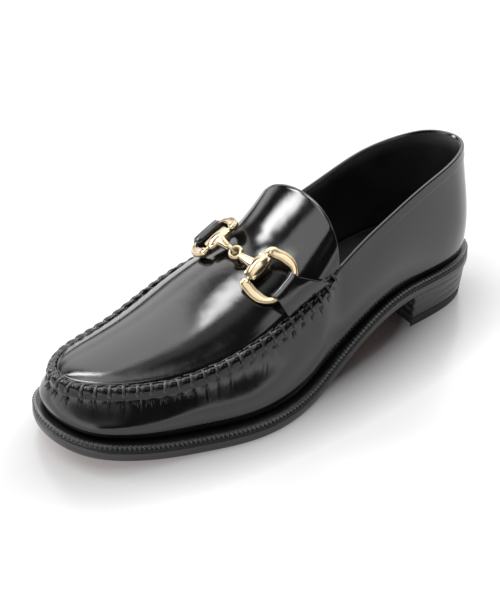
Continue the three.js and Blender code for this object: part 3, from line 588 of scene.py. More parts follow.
# The stitched part of the rim: its stations, number and pitch of stitches, and their phase everywhere
def seamStations(side, angle):
    points = rimPoint(side, angle) + atHeight(outward(side, angle), 0.0) * ridge["out"] / 2
    steps = np.linalg.norm(np.diff(points, axis=0, append=points[:1]), axis=1)
    lengths = np.concatenate([[0], np.cumsum(steps)[:-1]])
    first, last = np.flatnonzero(shareOf(angle) >= stitchLook["start"])[[0, -1]]
    span = lengths[last] - lengths[first]
    count = round(span / stitchLook["pitch"])
    phase = (lengths - lengths[first]) / (span / count)
    return {"first": first, "last": last, "count": count, "pitch": span / count, "phase": phase}


wallSide, wallAngle = loopOf(wallLook["perSide"])
seam = seamStations(wallSide, wallAngle)


# Rise of the wall's surface by gathers and pinches, at a distance below the stitches
def makeGathers(share, inSeam, cell):
    draws = np.random.default_rng(5)
    count, phase = seam["count"], seam["phase"]
    stitch = np.clip(np.floor(phase + 0.5).astype(int), 0, count)
    shifts = draws.uniform(0, 2 * np.pi, (count + 1, len(gatherWaves)))
    gains = draws.uniform(0.3, 1.3, (count + 1, len(gatherWaves)))
    lean = draws.uniform(-wallLook["gatherLean"], wallLook["gatherLean"], count + 1)
    nearStitch = np.cos(np.pi * (phase - stitch)) ** 2
    medial, lateral = (column(gatherTable, name)(share) for name in ("medial", "lateral"))
    reach = np.where(wallSide > 0, medial, lateral)

    def rise(below):
        local = phase - stitch + lean[stitch] * below / 3
        wave = np.zeros_like(local)
        for k, (frequency, gain) in enumerate(gatherWaves):
            wave += gain * gains[stitch, k] * np.sin(2 * np.pi * frequency * local + shifts[stitch, k])
        fade = np.exp(-(below / reach) ** 2) * inSeam
        pinch = np.exp(-below / stitchLook["pinchReach"]) * inSeam * (1 - cell) * stitchLook["pinch"]
        return fade * nearStitch * wave * wallLook["gatherHeight"] - pinch
    return rise


# Folded band behind the seam; s runs from its foot outside over the collar to the inside
def bandRow(s, topShare):
    foot, top, step, roll = (wallLook[k] for k in ("bandFoot", "bandTop", "step", "roll"))
    if s < foot:
        return wallPoint(wallSide, wallAngle, topShare, -step * smooth(0, foot, s))
    if s < top:
        climb = (s - foot) / (top - foot)
        rise = (smooth(0, 1, climb) + climb) / 2
        return wallPoint(wallSide, wallAngle, topShare + (1 - topShare) * rise, -step)
    turn = math.pi * (s - top) / (1 - top)
    row = wallPoint(wallSide, wallAngle, 1.0, (leather["wall"] - step) / 2 - roll * math.cos(turn))
    row[:, 2] += roll * math.sin(turn) * 0.9
    return row


def makeUpperWall():
    share = shareOf(wallAngle)
    weight = seamWeight(share)
    inSeam = smooth(stitchLook["start"] - 0.01, stitchLook["start"] + 0.01, share)
    cell = np.abs(np.sin(np.pi * seam["phase"])) ** stitchLook["cellPower"]
    out, low, high = wallEnds(wallSide, wallAngle)
    height = high[:, 2] - low[:, 2]
    topShare = 1 - (1 - weight) * wallLook["band"] / height
    zone = np.clip(wallLook["gatherZone"] / height, 0, 0.45)
    gathers = makeGathers(share, inSeam, cell)
    skin = Skin()

    def wallRow(t, depth=0.0):
        return skin.row(wallPoint(wallSide, wallAngle, t, depth))
    rows = [wallRow(t, depth) for t, depth in featherSteps]
    for step in np.linspace(0.03, 1, wallLook["lowRows"]):
        rows.append(wallRow(step * (1 - zone) * topShare))
    for step in np.linspace(0, 1, wallLook["highRows"] + 1)[1:]:
        t = (1 - zone * (1 - step) ** 1.3) * topShare
        rows.append(wallRow(t, -gathers((topShare - t) * height)))
    # ridge of the seam in front, folded band behind
    ridgeStart = len(rows) - 1
    foot = rimPoint(wallSide, wallAngle)
    for s in np.linspace(0, 1, wallLook["ridgeRows"] + 1)[1:]:
        rounded = 1 - abs(2 * s - 1) ** wallLook["ridgeRound"]
        cells = stitchLook["bulge"] * cell - stitchLook["dip"] * (1 - cell)
        swell = rounded * (ridge["height"] + inSeam * cells)
        crest = mix(high, foot, s) + (out * ridge["lean"] + [0, 0, 1]) * swell[:, None]
        rows.append(skin.row(mix(bandRow(s, topShare), crest, weight)))
    skin.strips(rows[:ridgeStart + 1], True, 0)
    first, last = seam["first"], seam["last"]
    front = np.arange(first, last + 1)
    behind = np.append(np.arange(last, len(wallAngle)), np.arange(first + 1))
    for part, slot in ((front, 2), (behind, 0)):
        skin.strips([row[part] for row in rows[ridgeStart:]], False, slot)
    # lining
    top = mix(wallPoint(wallSide, wallAngle, 1.0, leather["wall"]), foot - out * 1.5 - [0, 0, 2], weight)
    inner = [skin.row(top)]
    for t in np.linspace(1, 0, wallLook["innerRows"])[1:]:
        inner.append(wallRow(t * topShare, leather["wall"]))
    skin.strips([rows[-1], *inner, rows[0]], True, 1)
    return skin.make("upperWall", [upperLeather, liningLeather, ridgeLeather])


place(makeUpperWall(), "upper_leather", "upper")
print("wall made")

apronLook = {
    "perSide": 170, "across": 72, "lip": 0.3, "lipWidth": 1.1, "tuck": 0.35, "inward": 0.75, "edgeRound": 0.8,
    "edgeTurns": (35, 65, 90, 115, 145),
}
tongue = {"bow": 4, "level": 0.6, "blend": 0.06}
crown = {"narrow": 0.5, "wide": 2, "wideFrom": 20}


# Points round an edge, from one face's direction over the outward one
def edgeArc(middle, up, outwardStep, turns):
    angles = [math.radians(turn) for turn in turns]
    return [middle + up * math.cos(angle) + outwardStep * math.sin(angle) for angle in angles]


# Outer or inner surface of apron and tongue, a row of points at each station
def apronSurface(drop):
    angles = np.linspace(float(angleOf(collarFront)), math.pi, apronLook["perSide"] + 1)
    offsets = np.cos(np.linspace(0, np.pi, apronLook["across"] + 1))
    ends = []
    for side in (np.ones_like(angles), -np.ones_like(angles)):
        end = rimPoint(side, angles)
        end -= atHeight(outward(side, angles), 0.0) * (apronLook["inward"] * drop - apronLook["tuck"])
        end[:, 2] -= drop
        ends.append(end)
    medial, lateral = ends
    share = (1 - offsets[None, :]) / 2
    point = medial[:, None] + (lateral - medial)[:, None] * share[..., None]
    half = np.linalg.norm(medial - lateral, axis=1)[:, None] / 2
    top = apronRise(point[..., 1] / shoe["length"]) * shoe["instepHeight"] - drop
    most = half * crown["narrow"] + np.maximum(half - crown["wideFrom"], 0) * crown["wide"]
    shape = apronShape(np.broadcast_to(offsets, top.shape), point[..., 1])
    free = 1 - smooth(collarFront, collarFront + tongue["blend"], rimShare(point[..., 1]))
    point[..., 2] += np.clip(top - point[..., 2], 0, most) * shape
    point[..., 1] -= free * tongue["bow"] * (shape - tongue["level"]) * (1 - np.abs(offsets) ** 6)
    if drop == 0:
        fromEdge = (1 - np.abs(offsets))[None, :] * half
        lip = np.exp(-((fromEdge - apronLook["lipWidth"]) / apronLook["lipWidth"]) ** 2)
        stitched = smooth(0, 0.03, rimShare(point[..., 1]) - collarFront - 0.02)
        point[..., 2] += apronLook["lip"] * lip * stitched
    return point


def makeApron():
    skin = Skin()
    outer, inner = (apronSurface(drop) for drop in (0.0, leather["wall"]))
    outerRows, innerRows = ([skin.row(row) for row in surface] for surface in (outer, inner))
    skin.strips(outerRows[::-1], False, 0)
    skin.strips(innerRows, False, 1)
    # rounded free edge of the tongue, then the cut edge under the ridge
    middle = (outer[0] + inner[0]) / 2
    back = np.array([0, -1.0, 0.25]) * apronLook["edgeRound"]
    turned = edgeArc(middle, outer[0] - middle, back, apronLook["edgeTurns"])
    arc = [outerRows[0], *(skin.row(points) for points in turned), innerRows[0]]
    skin.strips(arc, False, 2)
    skin.strip(outerRows[-1], innerRows[-1])
    for index, order in ((0, 1), (-1, -1)):
        edges = [np.array([row[index] for row in rows])[::order] for rows in (outerRows, innerRows)]
        skin.strip(*edges)
        skin.faces.append([int(row[index]) for row in arc][::-order])
        skin.slots.append(2)
    return skin.make("apron", [upperLeather, liningLeather, cutEdge])


place(makeApron(), "upper_leather", "upper")
print("apron made")

# Bit: two halves of ring, barrel, arm and eye
bit = {
    "at": 0.593, "medial": 0.7, "clearance": 6.6, "slopeSpan": 12, "ringDrop": 15, "barrelAt": 18.2,
    "barrelLength": 14.4, "barrelWidth": 9, "barrelHeight": 6.6, "ringOut": 18.3, "ringHalf": 12.5,
    "ringWidth": 5.6, "ringHeight": 3.4, "barWidth": 3.2, "holdFrom": 0.5, "holdTo": 0.95, "neckRadius": 1.5,
    "armRadius": 3.3, "armTip": 1.5, "eyeRadius": 3.1, "eyeWire": 1.15, "shoulder": 2.9,
}
# How each half lies, in degrees
hangs = {
    "medial": {"tilt": -9, "sweep": 6.5, "roll": 11.5},
    "lateral": {"tilt": -13, "sweep": 1, "roll": 9.5},
}
ringTable = {
    "out": [0.02, 0.14, 0.32, 0.5, 0.72, 0.9, 0.985, 1],
    "along": [0.848, 0.915, 0.98, 1, 0.95, 0.78, 0.5, 0.2],
}
# Grooves stand at shares of the ring's width, with their depths; the ring swells towards its shoulders
ringLook = {
    "rows": 120, "around": 60, "tail": 2.6, "grooves": [(0.74, 0.3), (-0.8, 0.24)], "grooveWidth": 0.07,
    "swellWide": 0.12, "swellTall": 0.25, "swellReach": 5,
}
barrelLook = {
    "frameDrop": 1.0, "spindleRise": 0.25, "crease": 9, "bevel": 1.6, "bevelWide": 0.86, "bevelLong": 0.91,
    "spindleWide": 0.84, "spindleLong": 0.99, "taper": 0.17, "ends": [0.0, 0.02, 0.05, 0.09, 0.13],
}
bitBack = bit["at"] * shoe["length"]


def bitFrame(side):
    hang = hangs["medial" if side > 0 else "lateral"]
    middle = float(rimCentre(rimShare(bitBack))) + bit["medial"]
    span = bit["slopeSpan"]
    fall = float(apronHeight(middle, bitBack + span) - apronHeight(middle, bitBack - span))
    pitch = math.atan2(fall, 2 * span) + math.radians(hang["tilt"])
    sweep, roll = math.radians(hang["sweep"]), math.radians(hang["roll"])
    forward = np.array([0, math.cos(pitch), math.sin(pitch)])
    up = np.array([0, -math.sin(pitch), math.cos(pitch)])
    out = np.array([side, 0.0, 0.0])
    swept = out * math.cos(sweep) - forward * math.sin(sweep)
    ahead = forward * math.cos(sweep) + out * math.sin(sweep)
    dropped = swept * math.cos(roll) - up * math.sin(roll)
    above = up * math.cos(roll) + swept * math.sin(roll)
    origin = np.array([middle, bitBack, float(apronHeight(middle, bitBack)) + bit["clearance"]])
    return np.stack([dropped, ahead, above]), origin


# Middle line of the ring in the half's own plane, from the front shoulder round to the rear one
def ringLine(count, extra=0.0):
    slope = math.tan(math.radians(bit["ringDrop"]))
    out = np.array(ringTable["out"]) * bit["ringOut"]
    along = np.array(ringTable["along"]) * bit["ringHalf"]
    if extra:
        out, along = np.append(0.25, out), np.append(along[0] - extra, along)
    points = np.stack([bit["barrelAt"] + out, along, -out * slope], -1)
    points = np.concatenate([points, (points * [1, -1, 1])[::-1]])
    steps = np.sqrt(np.linalg.norm(np.diff(points, axis=0), axis=1))
    knots = np.concatenate([[0], np.cumsum(steps)])
    curves = [makeSpline(knots, points[:, axis]) for axis in range(3)]
    fine = np.linspace(0, knots[-1], 400)
    dense = np.stack([curve(fine) for curve in curves], -1)
    lengths = np.concatenate([[0], np.cumsum(np.linalg.norm(np.diff(dense, axis=0), axis=1))])
    wanted = np.linspace(0, lengths[-1], count)
    return np.stack([np.interp(wanted, lengths, dense[:, axis]) for axis in range(3)], -1), lengths[-1]


def unit(vectors):
    return vectors / np.linalg.norm(vectors, axis=-1, keepdims=True)


def circle(count):
    turn = np.linspace(0, 2 * np.pi, count, endpoint=False)
    return np.cos(turn), np.sin(turn)


# Sideways and upward directions along a line
def directions(line):
    along = unit(np.gradient(line, axis=0))
    side = unit(np.cross(along, [0, 0, 1.0]))
    return side, np.cross(side, along)


# Closed tube of rows, with a fan at each end
def addShell(skin, rows, ends):
    skin.strips(rows[::-1], True)
    skin.fan(rows[0], ends[0])
    skin.fan(rows[-1][::-1], ends[-1])


def addRing(skin, put):
    look = ringLook
    line, length = ringLine(look["rows"], look["tail"])
    side, above = directions(line)
    c, s = circle(look["around"])
    # convex top with a groove along each edge, flat back
    across = np.sign(c) * np.abs(c) ** 0.7
    high = np.where(s > 0, np.abs(s) ** 0.8, -np.abs(s) ** 0.5 * 0.8)
    for at, depth in look["grooves"]:
        high = high - depth * np.exp(-((across - at) / look["grooveWidth"]) ** 2) * (s > 0)
    held = smooth(bit["holdFrom"], bit["holdTo"], (line[:, 0] - bit["barrelAt"]) / bit["ringOut"])
    walked = np.linspace(0, length, look["rows"])
    toEnd = np.minimum(walked, walked[::-1])
    swell = np.exp(-(toEnd / look["swellReach"]) ** 2)
    cap = bit["shoulder"]
    scale = np.where(toEnd < cap, np.sqrt(np.clip(1 - (1 - toEnd / cap) ** 2, 0.0025, 1)), 1)
    wide = mix(bit["ringWidth"], bit["barWidth"], held) * (1 + look["swellWide"] * swell) * scale / 2
    tall = bit["ringHeight"] * (1 + look["swellTall"] * swell) * np.sqrt(scale) / 2
    rows = []
    for i in range(look["rows"]):
        section = side[i] * (across * wide[i])[:, None] + above[i] * (high * tall[i])[:, None]
        rows.append(skin.row(put(line[i] + section)))
    addShell(skin, rows, put(line))


# Barrel: a bevelled frame with a raised spindle on top, blended at the crease
def addBarrel(skin, put):
    look = barrelLook
    halfLong, halfWide, halfHigh = bit["barrelLength"] / 2, bit["barrelWidth"] / 2, bit["barrelHeight"] / 2
    frame, crease, bevel = halfHigh - look["frameDrop"], look["crease"], look["bevel"]
    bowX = (look["frameDrop"] + look["spindleRise"]) / (look["spindleWide"] * halfWide) ** 2
    bowY = (look["frameDrop"] + look["spindleRise"]) / (look["spindleLong"] * halfLong) ** 2
    ends = np.array(look["ends"])
    ys = np.concatenate([-1 + ends, np.linspace(-0.83, 0.83, 41), 1 - ends[::-1]]) * halfLong
    rows = []
    for y in ys:
        near = abs(y) / halfLong
        wide = halfWide * (1 - look["taper"] * near ** 2) - 0.5 * max(0, near - 0.94) / 0.06
        x = np.sin(np.linspace(-np.pi / 2, np.pi / 2, 45)) * wide
        spindle = halfHigh + look["spindleRise"] - bowX * x ** 2 - bowY * y * y
        flat = frame - 0.1 * np.abs(x)
        edge = frame - (np.abs(x) - look["bevelWide"] * wide) * bevel
        tip = np.full_like(x, frame - (abs(y) - look["bevelLong"] * halfLong) * bevel)
        low = -np.log(np.exp(-crease * np.stack([flat, edge, tip])).sum(0)) / crease
        top = np.maximum(np.log(np.exp(crease * np.stack([low, spindle])).sum(0)) / crease, 0.35)
        xb = x[::-1][2:-2:2]
        bottom = -halfHigh * (1 - (np.abs(xb) / wide) ** 4) * (1 - 0.3 * near ** 6) * 0.8 - 0.35
        xs, zs = np.concatenate([x, xb]), np.concatenate([top, bottom])
        rows.append(skin.row(put(np.stack([bit["barrelAt"] + xs, np.full_like(xs, y), zs], -1))))
    addShell(skin, rows, [put([bit["barrelAt"], y * 1.004, 0.0]) for y in (ys[0], ys[-1])])


# Tube of changing section along a line in the half's own plane
def addTube(skin, put, line, wide, tall, power=1.0, around=20):
    side, above = directions(line)
    c, s = (np.sign(wave) * np.abs(wave) ** power for wave in circle(around))
    wide, tall = np.broadcast_to(wide, len(line)), np.broadcast_to(tall, len(line))
    rows = []
    for i in range(len(line)):
        section = side[i] * (c * wide[i])[:, None] + above[i] * (s * tall[i])[:, None]
        rows.append(skin.row(put(line[i] + section)))
    addShell(skin, rows, put(line))


def addEye(skin, put, upright):
    c, s = circle(56)
    ring = np.stack([bit["eyeRadius"] * c, bit["eyeRadius"] * s, 0 * c], -1)
    axis = np.array([0, 0, 1.0])
    if upright:
        ring, axis = ring[:, [0, 2, 1]], axis[[0, 2, 1]]
    centre = np.array([bit["eyeRadius"] / 2, 0, 0])
    c, s = (wave[:, None] * bit["eyeWire"] for wave in circle(18))
    rows = [skin.row(put(centre + point + unit(point) * c + axis * s)) for point in ring]
    skin.strips([*rows, rows[0]], True)


def makeBit(name, side):
    axes, origin = bitFrame(side)
    skin = Skin()

    def put(points):
        return np.asarray(points) @ axes + origin
    addRing(skin, put)
    addBarrel(skin, put)
    shoulder = ringTable["along"][0] * bit["ringHalf"]
    for end in (1, -1):
        ys = np.linspace(bit["barrelLength"] / 2 - 0.6, shoulder - 1.2, 8) * end
        waist = bit["neckRadius"] * (1.12 - 0.25 * np.sin(np.linspace(0, np.pi, 8)))
        addTube(skin, put, np.stack([np.full(8, bit["barrelAt"]), ys, 0 * ys], -1), waist, waist)
    share = np.linspace(0, 1, 22)
    xs = mix(bit["barrelAt"] - 2.2, bit["eyeRadius"] * 1.5 - 0.2, share)
    radius = mix(bit["armRadius"], bit["armTip"], share ** 0.8) + 0.5 * np.exp(-share / 0.12)
    addTube(skin, put, np.stack([xs, 0 * xs, 0 * xs], -1), radius * 1.08, radius * 0.8, 0.72, 24)
    addEye(skin, put, side > 0)
    return skin.makeShells(name, [goldPlate])


for name, side in (("bitMedial", 1), ("bitLateral", -1)):
    place(makeBit(name, side), "bit_metal", "bit_medial" if side > 0 else "bit_lateral")
print("bit made")

# Straps: out of the seam, up beside the apron, over the ring's bar and in again
strap = {
    "seamFront": 4, "seamRear": 31, "seamOut": 0.9, "seamUp": 1.7, "flareOut": 2.4, "flareUp": 1.6,
    "barFront": 7.8, "barRear": 7.8, "belly": 0.8, "bellyRear": 1.2, "tuck": 0.6, "clearance": 0.6,
    "flank": 0.85, "edgeRound": 0.35, "columns": 40, "standSteps": 18, "foldSteps": 18,
}


def strapPath(side, across, samples, axes, origin):
    barAxis = axes[1]
    along = mix(strap["barFront"], -strap["barRear"], across)
    farHalf = samples[samples[:, 0] > bit["barrelAt"] + bit["ringOut"] / 2]
    order = np.argsort(farHalf[:, 1])
    near = np.array([np.interp(along, farHalf[order, 1], farHalf[order, axis]) for axis in range(3)])
    bar = near @ axes + origin
    back = bitBack - mix(strap["seamFront"], strap["seamRear"], across)
    seamPoint = rimPoint(np.array([side]), np.array([float(angleOf(rimShare(back)))]))[0]
    out = strap["seamOut"] + strap["flareOut"] * across ** 2
    up = strap["seamUp"] + strap["flareUp"] * across ** 2
    seamPoint += [side * out, 0, up]
    down = seamPoint - bar
    down = unit(down - barAxis * down.dot(barAxis))
    outside = np.cross(down, barAxis) * side
    reach = max(bit["barWidth"], bit["ringHeight"]) / 2 + strap["clearance"] + leather["strap"] / 2
    foot = bar + outside * reach
    path = []
    for k in range(strap["standSteps"]):
        share = k / strap["standSteps"]
        belly = math.sin(math.pi * share) * (strap["belly"] + strap["bellyRear"] * across)
        path.append(mix(seamPoint, foot, share) + outside * belly)
    turns = np.linspace(0, 180, strap["foldSteps"] + 1)
    path += edgeArc(bar, outside * reach, -down * reach, turns)
    path.append(bar - outside * reach + down * strap["tuck"])
    # the standing part keeps clear of the apron's flank
    for point in path[:strap["standSteps"]]:
        middle = float(rimCentre(rimShare(point[1])))
        flank = max(float(flankHalf(point[1] + step, point[2])) for step in (-3, 0, 3))
        least = flank + leather["strap"] / 2 + strap["flank"]
        point[0] = middle + side * max(side * (point[0] - middle), least)
    return np.array(path)


def makeStrap(name, side):
    axes, origin = bitFrame(side)
    samples = ringLine(300)[0]
    shares = np.arange(strap["columns"] + 1) / strap["columns"]
    paths = np.array([strapPath(side, share, samples, axes, origin) for share in shares])
    along, across = np.gradient(paths, axis=1), np.gradient(paths, axis=0)
    half = unit(np.cross(along, across)) * side * leather["strap"] / 2
    sideways = unit(across) * strap["edgeRound"]
    skin = Skin()
    rows = []
    for k in range(paths.shape[1]):
        path, up = paths[:, k], half[:, k]
        rear = edgeArc(path[-1], up[-1], sideways[-1, k], (60, 90, 120))
        front = edgeArc(path[0], up[0], -sideways[0, k], (120, 90, 60))
        rows.append(skin.row([*(path + up), *rear, *(path - up)[::-1], *front]))
    skin.strips(rows, True)
    skin.fan(rows[0], paths[:, 0].mean(0))
    skin.fan(rows[-1][::-1], paths[:, -1].mean(0))
    return skin.makeShells(name, [strapLeather])


for name, side in (("strapMedial", 1), ("strapLateral", -1)):
    place(makeStrap(name, side), "strap_leather", "strap_medial" if side > 0 else "strap_lateral")
print("straps made")


# Pattern along a guide line: one template is set at even steps, turned by the guide's own directions
def patternTree(name):
    tree = bpy.data.node_groups.new(name, "GeometryNodeTree")
    sockets = [
        ("Geometry", "Geometry"), ("Count", "Int"), ("Seed", "Int"), ("Turn", "Float"),
        ("Template", "Object"), ("Finish", "Material"),
    ]
    for label, kind in sockets:
        tree.interface.new_socket(label, in_out="INPUT", socket_type="NodeSocket" + kind)
    tree.interface.new_socket("Geometry", in_out="OUTPUT", socket_type="NodeSocketGeometry")
    graph = Graph(tree)

    def add(kind, inputs=(), **settings):
        return graph.new(kind, inputs, **settings).outputs
    start = add("NodeGroupInput")
    curve = add("GeometryNodeMeshToCurve", {0: start["Geometry"]})[0]
    points = add("GeometryNodeCurveToPoints", {"Curve": curve, "Count": start["Count"]}, mode="COUNT")
    facing = add("GeometryNodeInputNamedAttribute", {"Name": "facing"}, data_type="FLOAT_VECTOR")
    ways = {"Primary Axis": facing["Attribute"], "Secondary Axis": points["Tangent"]}
    turned = add("FunctionNodeAxesToRotation", ways, primary_axis="Z", secondary_axis="X")[0]
    least, most = (
        add("ShaderNodeVectorMath", {0: (way, way, way), "Scale": start["Turn"]}, operation="SCALE")[0]
        for way in (-1, 1)
    )
    limits = {"Min": least, "Max": most, "Seed": start["Seed"]}
    wobble = add("FunctionNodeRandomValue", limits, data_type="FLOAT_VECTOR")["Value"]
    wobbled = {"Rotation": turned, "Rotate By": add("FunctionNodeEulerToRotation", {0: wobble})[0]}
    turned = add("FunctionNodeRotateRotation", wobbled, rotation_space="LOCAL")[0]
    template = add("GeometryNodeObjectInfo", {"Object": start["Template"]})["Geometry"]
    instances = {"Points": points["Points"], "Instance": template, "Rotation": turned}
    made = add("GeometryNodeRealizeInstances", {0: add("GeometryNodeInstanceOnPoints", instances)[0]})[0]
    finished = add("GeometryNodeSetMaterial", {"Geometry": made, "Material": start["Finish"]})[0]
    add("NodeGroupOutput", {"Geometry": finished})
    return tree


pattern = patternTree("patternAlongLine")


def guideLine(name, points, facing, closed=False):
    mesh = bpy.data.meshes.new(name)
    count = len(points)
    edges = [(i, i + 1) for i in range(count - 1)] + ([(count - 1, 0)] if closed else [])
    mesh.from_pydata(toMetres(points).tolist(), edges, [])
    mesh.attributes.new("facing", "FLOAT_VECTOR", "POINT").data.foreach_set("vector", np.ravel(facing))
    return addObject(name, mesh)


def runPattern(name, guide, values, shaded=True):
    modifier = guide.modifiers.new("pattern", "NODES")
    modifier.node_group = pattern
    for item in pattern.interface.items_tree:
        if item.item_type == "SOCKET" and item.in_out == "INPUT" and item.name in values:
            modifier[item.identifier] = values[item.name]
    graph = bpy.context.evaluated_depsgraph_get()
    mesh = bpy.data.meshes.new_from_object(guide.evaluated_get(graph))
    for used in (guide, values["Template"]):
        bpy.data.objects.remove(used)
    mesh.name = name
    mesh.polygons.foreach_set("use_smooth", [shaded] * len(mesh.polygons))
    return addObject(name, mesh)


# The stitched part of a line on the wall carries one template at each stitch
def seamPattern(name, line, facing, values):
    part = slice(seam["first"], seam["last"] + 1)
    guide = guideLine(name + "Guide", line[part], facing[part])
    place(runPattern(name, guide, {"Count": seam["count"] + 1, **values}), "upper_leather", "upper")


# Template meshes lie in their own frame: X along the line, Y across it, Z out of the surface
def templatePiece(name, tubes):
    skin = Skin()
    for line, wide, tall, power in tubes:
        addTube(skin, lambda p: np.asarray(p) + [0, sole["heelCentre"], 0], line, wide, tall, power, 10)
    return skin.makeShells(name)


# One rung of the moccasin seam: a waxed thread over the ridge, and the thread along the apron's edge
threadLook = {
    "overReach": 3.3, "overHigh": 0.6, "overFall": 1.4, "overBow": 2.6, "sway": 0.3, "overWide": 0.95,
    "overTall": 0.6, "railAt": 3.05, "railLow": -0.55, "railRise": 0.5, "railWide": 0.42, "railTall": 0.36,
    "power": 0.9,
}


def stitchTemplate():
    look = threadLook
    t, rail = np.linspace(-1, 1, 13), np.linspace(-0.5, 0.5, 9)
    fall = look["overHigh"] - look["overFall"] * np.abs(t) ** look["overBow"]
    over = np.stack([look["sway"] * np.sin(2.5 * t), look["overReach"] * t, fall], -1)
    arch = look["railLow"] + look["railRise"] * np.cos(np.pi * rail)
    top = np.stack([rail * seam["pitch"] * 0.98, look["railAt"] + 0 * rail, arch], -1)
    return templatePiece("stitchTemplate", [
        (over, look["overWide"], look["overTall"], look["power"]),
        (top, look["railWide"], look["railTall"], look["power"]),
    ])


out, low, high = wallEnds(wallSide, wallAngle)
crest = (high + rimPoint(wallSide, wallAngle)) / 2
crest += (out * ridge["lean"] + [0, 0, 1]) * (ridge["height"] - stitchLook["dip"])
crestFacing = unit(out * (ridge["lean"] + 0.35) + [0, 0, 1])
stitchValues = {"Seed": 4, "Turn": 0.15, "Template": stitchTemplate(), "Finish": waxThread}
seamPattern("seamStitches", crest, crestFacing, stitchValues)

# Puckers: short pleats that fan out of each stitch, down the wall
pleat = {
    "length": 4.2, "fan": 0.35, "wide": 0.22, "high": 0.34, "below": 1.2, "start": 0.9, "drop": 0.12,
    "each": [-1.5, -0.75, 0.05, 0.8, 1.55],
}


def pleatTemplate():
    t = np.linspace(0, 1, 8)
    thin = np.sin(np.pi * (0.12 + 0.85 * t)) ** 0.7
    tubes = []
    for k, x in enumerate(pleat["each"]):
        long = pleat["length"] * (0.75 + 0.25 * math.cos(k * 2.3))
        line = np.stack([x * (1 + pleat["fan"] * t), pleat["start"] - long * t, 0.02 - pleat["drop"] * t], -1)
        tubes.append((line, pleat["wide"] * thin, pleat["high"] * thin, 1.0))
    return templatePiece("pleatTemplate", tubes)


pleatAt = 1 - pleat["below"] / (high[:, 2] - low[:, 2])
pleatLine = wallPoint(wallSide, wallAngle, pleatAt)
pleatFacing = wallPoint(wallSide, wallAngle, pleatAt, -1.0) - pleatLine
pleatValues = {"Seed": 11, "Turn": 0.16, "Template": pleatTemplate(), "Finish": upperLeather}
seamPattern("seamPleats", pleatLine, pleatFacing, pleatValues)


# One tooth of the welt: a small wedge with a rounded crest. Steps are shares of the half pitch and depth
toothSteps = {
    "x": [-1, -0.45, -0.1563, 0, 0.1563, 0.45, 1, 1, -1],
    "y": [0, 0.42, 0.92, 0.97, 0.92, 0.42, 0, -0.8, -0.8],
}


def toothTemplate():
    tall = weltLook["toothHeight"]
    xs = np.array(toothSteps["x"]) * weltLook["toothPitch"] * weltLook["toothShare"]
    ys = np.array(toothSteps["y"]) * weltLook["toothDepth"]
    skin = Skin()
    rows = []
    for z, grow in ((-tall, 0.85), (-tall * 0.6, 1.0), (-0.35, 1.0), (-0.08, 0.8)):
        grown = np.where(ys > 0, ys * grow, ys)
        rows.append(skin.row(np.stack([xs, grown + sole["heelCentre"], np.full(9, z)], -1)))
    skin.strips(rows, True)
    skin.fan(rows[0][::-1], [0, sole["heelCentre"], -tall])
    skin.fan(rows[-1], [0, sole["heelCentre"] - 0.2, -0.05])
    return skin.makeShells("toothTemplate")


def makeTeeth():
    side, angle = loopOf(weltLook["perSide"])
    plan = insetOutline(side, angle, weltLook["toothDepth"])
    line = atHeight(plan, seatAt(plan[:, 1]))
    around = np.linalg.norm(np.diff(line, axis=0, append=line[:1]), axis=1).sum()
    guide = guideLine("toothGuide", line[::-1], np.tile([0, 0, 1.0], (len(line), 1)), True)
    count = round(around / weltLook["toothPitch"])
    # The teeth's lighter leather is painted highlight: glints on the teeth
    values = {"Count": count, "Seed": 2, "Turn": 0.0, "Template": toothTemplate(), "Finish": toothPaintedGlintLeather}
    return runPattern("weltTeeth", guide, values, False)


place(makeTeeth(), "welt_leather", "welt")
print("patterns made")

# Studio: pale floor with painted light that glows away from the shoe and a painted contact shadow round it, a
# sky of soft panels and the camera.
# The glow counts its distances in half lengths and widths of an ellipse round the shoe
studio = {
    "floor": 12.0, "floorColor": (0.27, 0.27, 0.272), "paintedLightNear": 0.62, "paintedLightFar": 1.3,
    "paintedShadowSpan": (0.6, 1.3), "farSpan": (4, 10), "footMiddle": (-0.005, 0.112), "footHalf": (0.06, 0.152),
    "dark": 0.03, "gain": 0.75, "seen": 1.0,
}
# Panels: middle azimuth from the toe's direction towards the inner side, half width, lowest and highest
# elevation, softness of the edges, all in degrees, and brightness
panels = {
    "stripLow": {"azimuth": 58, "half": 13, "low": 31, "high": 41, "soft": 3, "light": 20},
    "stripMid": {"azimuth": 71, "half": 9, "low": 40, "high": 49, "soft": 3, "light": 18},
    "crown": {"azimuth": 77, "half": 7, "low": 57, "high": 82, "soft": 2, "light": 23},
    "frontStrip": {"azimuth": 15, "half": 16, "low": 60, "high": 70, "soft": 5, "light": 4},
    "frontCrown": {"azimuth": 8, "half": 38, "low": 70, "high": 79, "soft": 5, "light": 2.4},
    "backdrop": {"azimuth": 142, "half": 50, "low": 30, "high": 84, "soft": 4, "light": 3.2},
    "backdropBase": {"azimuth": 142, "half": 46, "low": 8, "high": 30, "soft": 4, "light": 2.4},
    "backdropEdge": {"azimuth": 78, "half": 13, "low": 0, "high": 17, "soft": 4, "light": 2.6},
    "overhead": {"azimuth": 60, "half": 180, "low": 82, "high": 90, "soft": 4, "light": 0.7},
    "front": {"azimuth": 2, "half": 44, "low": -5, "high": 16, "soft": 7, "light": 1.9},
    "frontHigh": {"azimuth": -18, "half": 45, "low": 14, "high": 30, "soft": 8, "light": 0.5},
    "lateralHigh": {"azimuth": -112, "half": 16, "low": 42, "high": 58, "soft": 6, "light": 1.8},
}
floorMaterial = makeMaterial("floorPaintAndPaintedLight", studio["floorColor"], 0.22)
floorNodes = Paint(floorMaterial)
floorNodes.shader.inputs["Emission Color"].default_value = (1, 1, 1, 1)
middle, halves = studio["footMiddle"], studio["footHalf"]
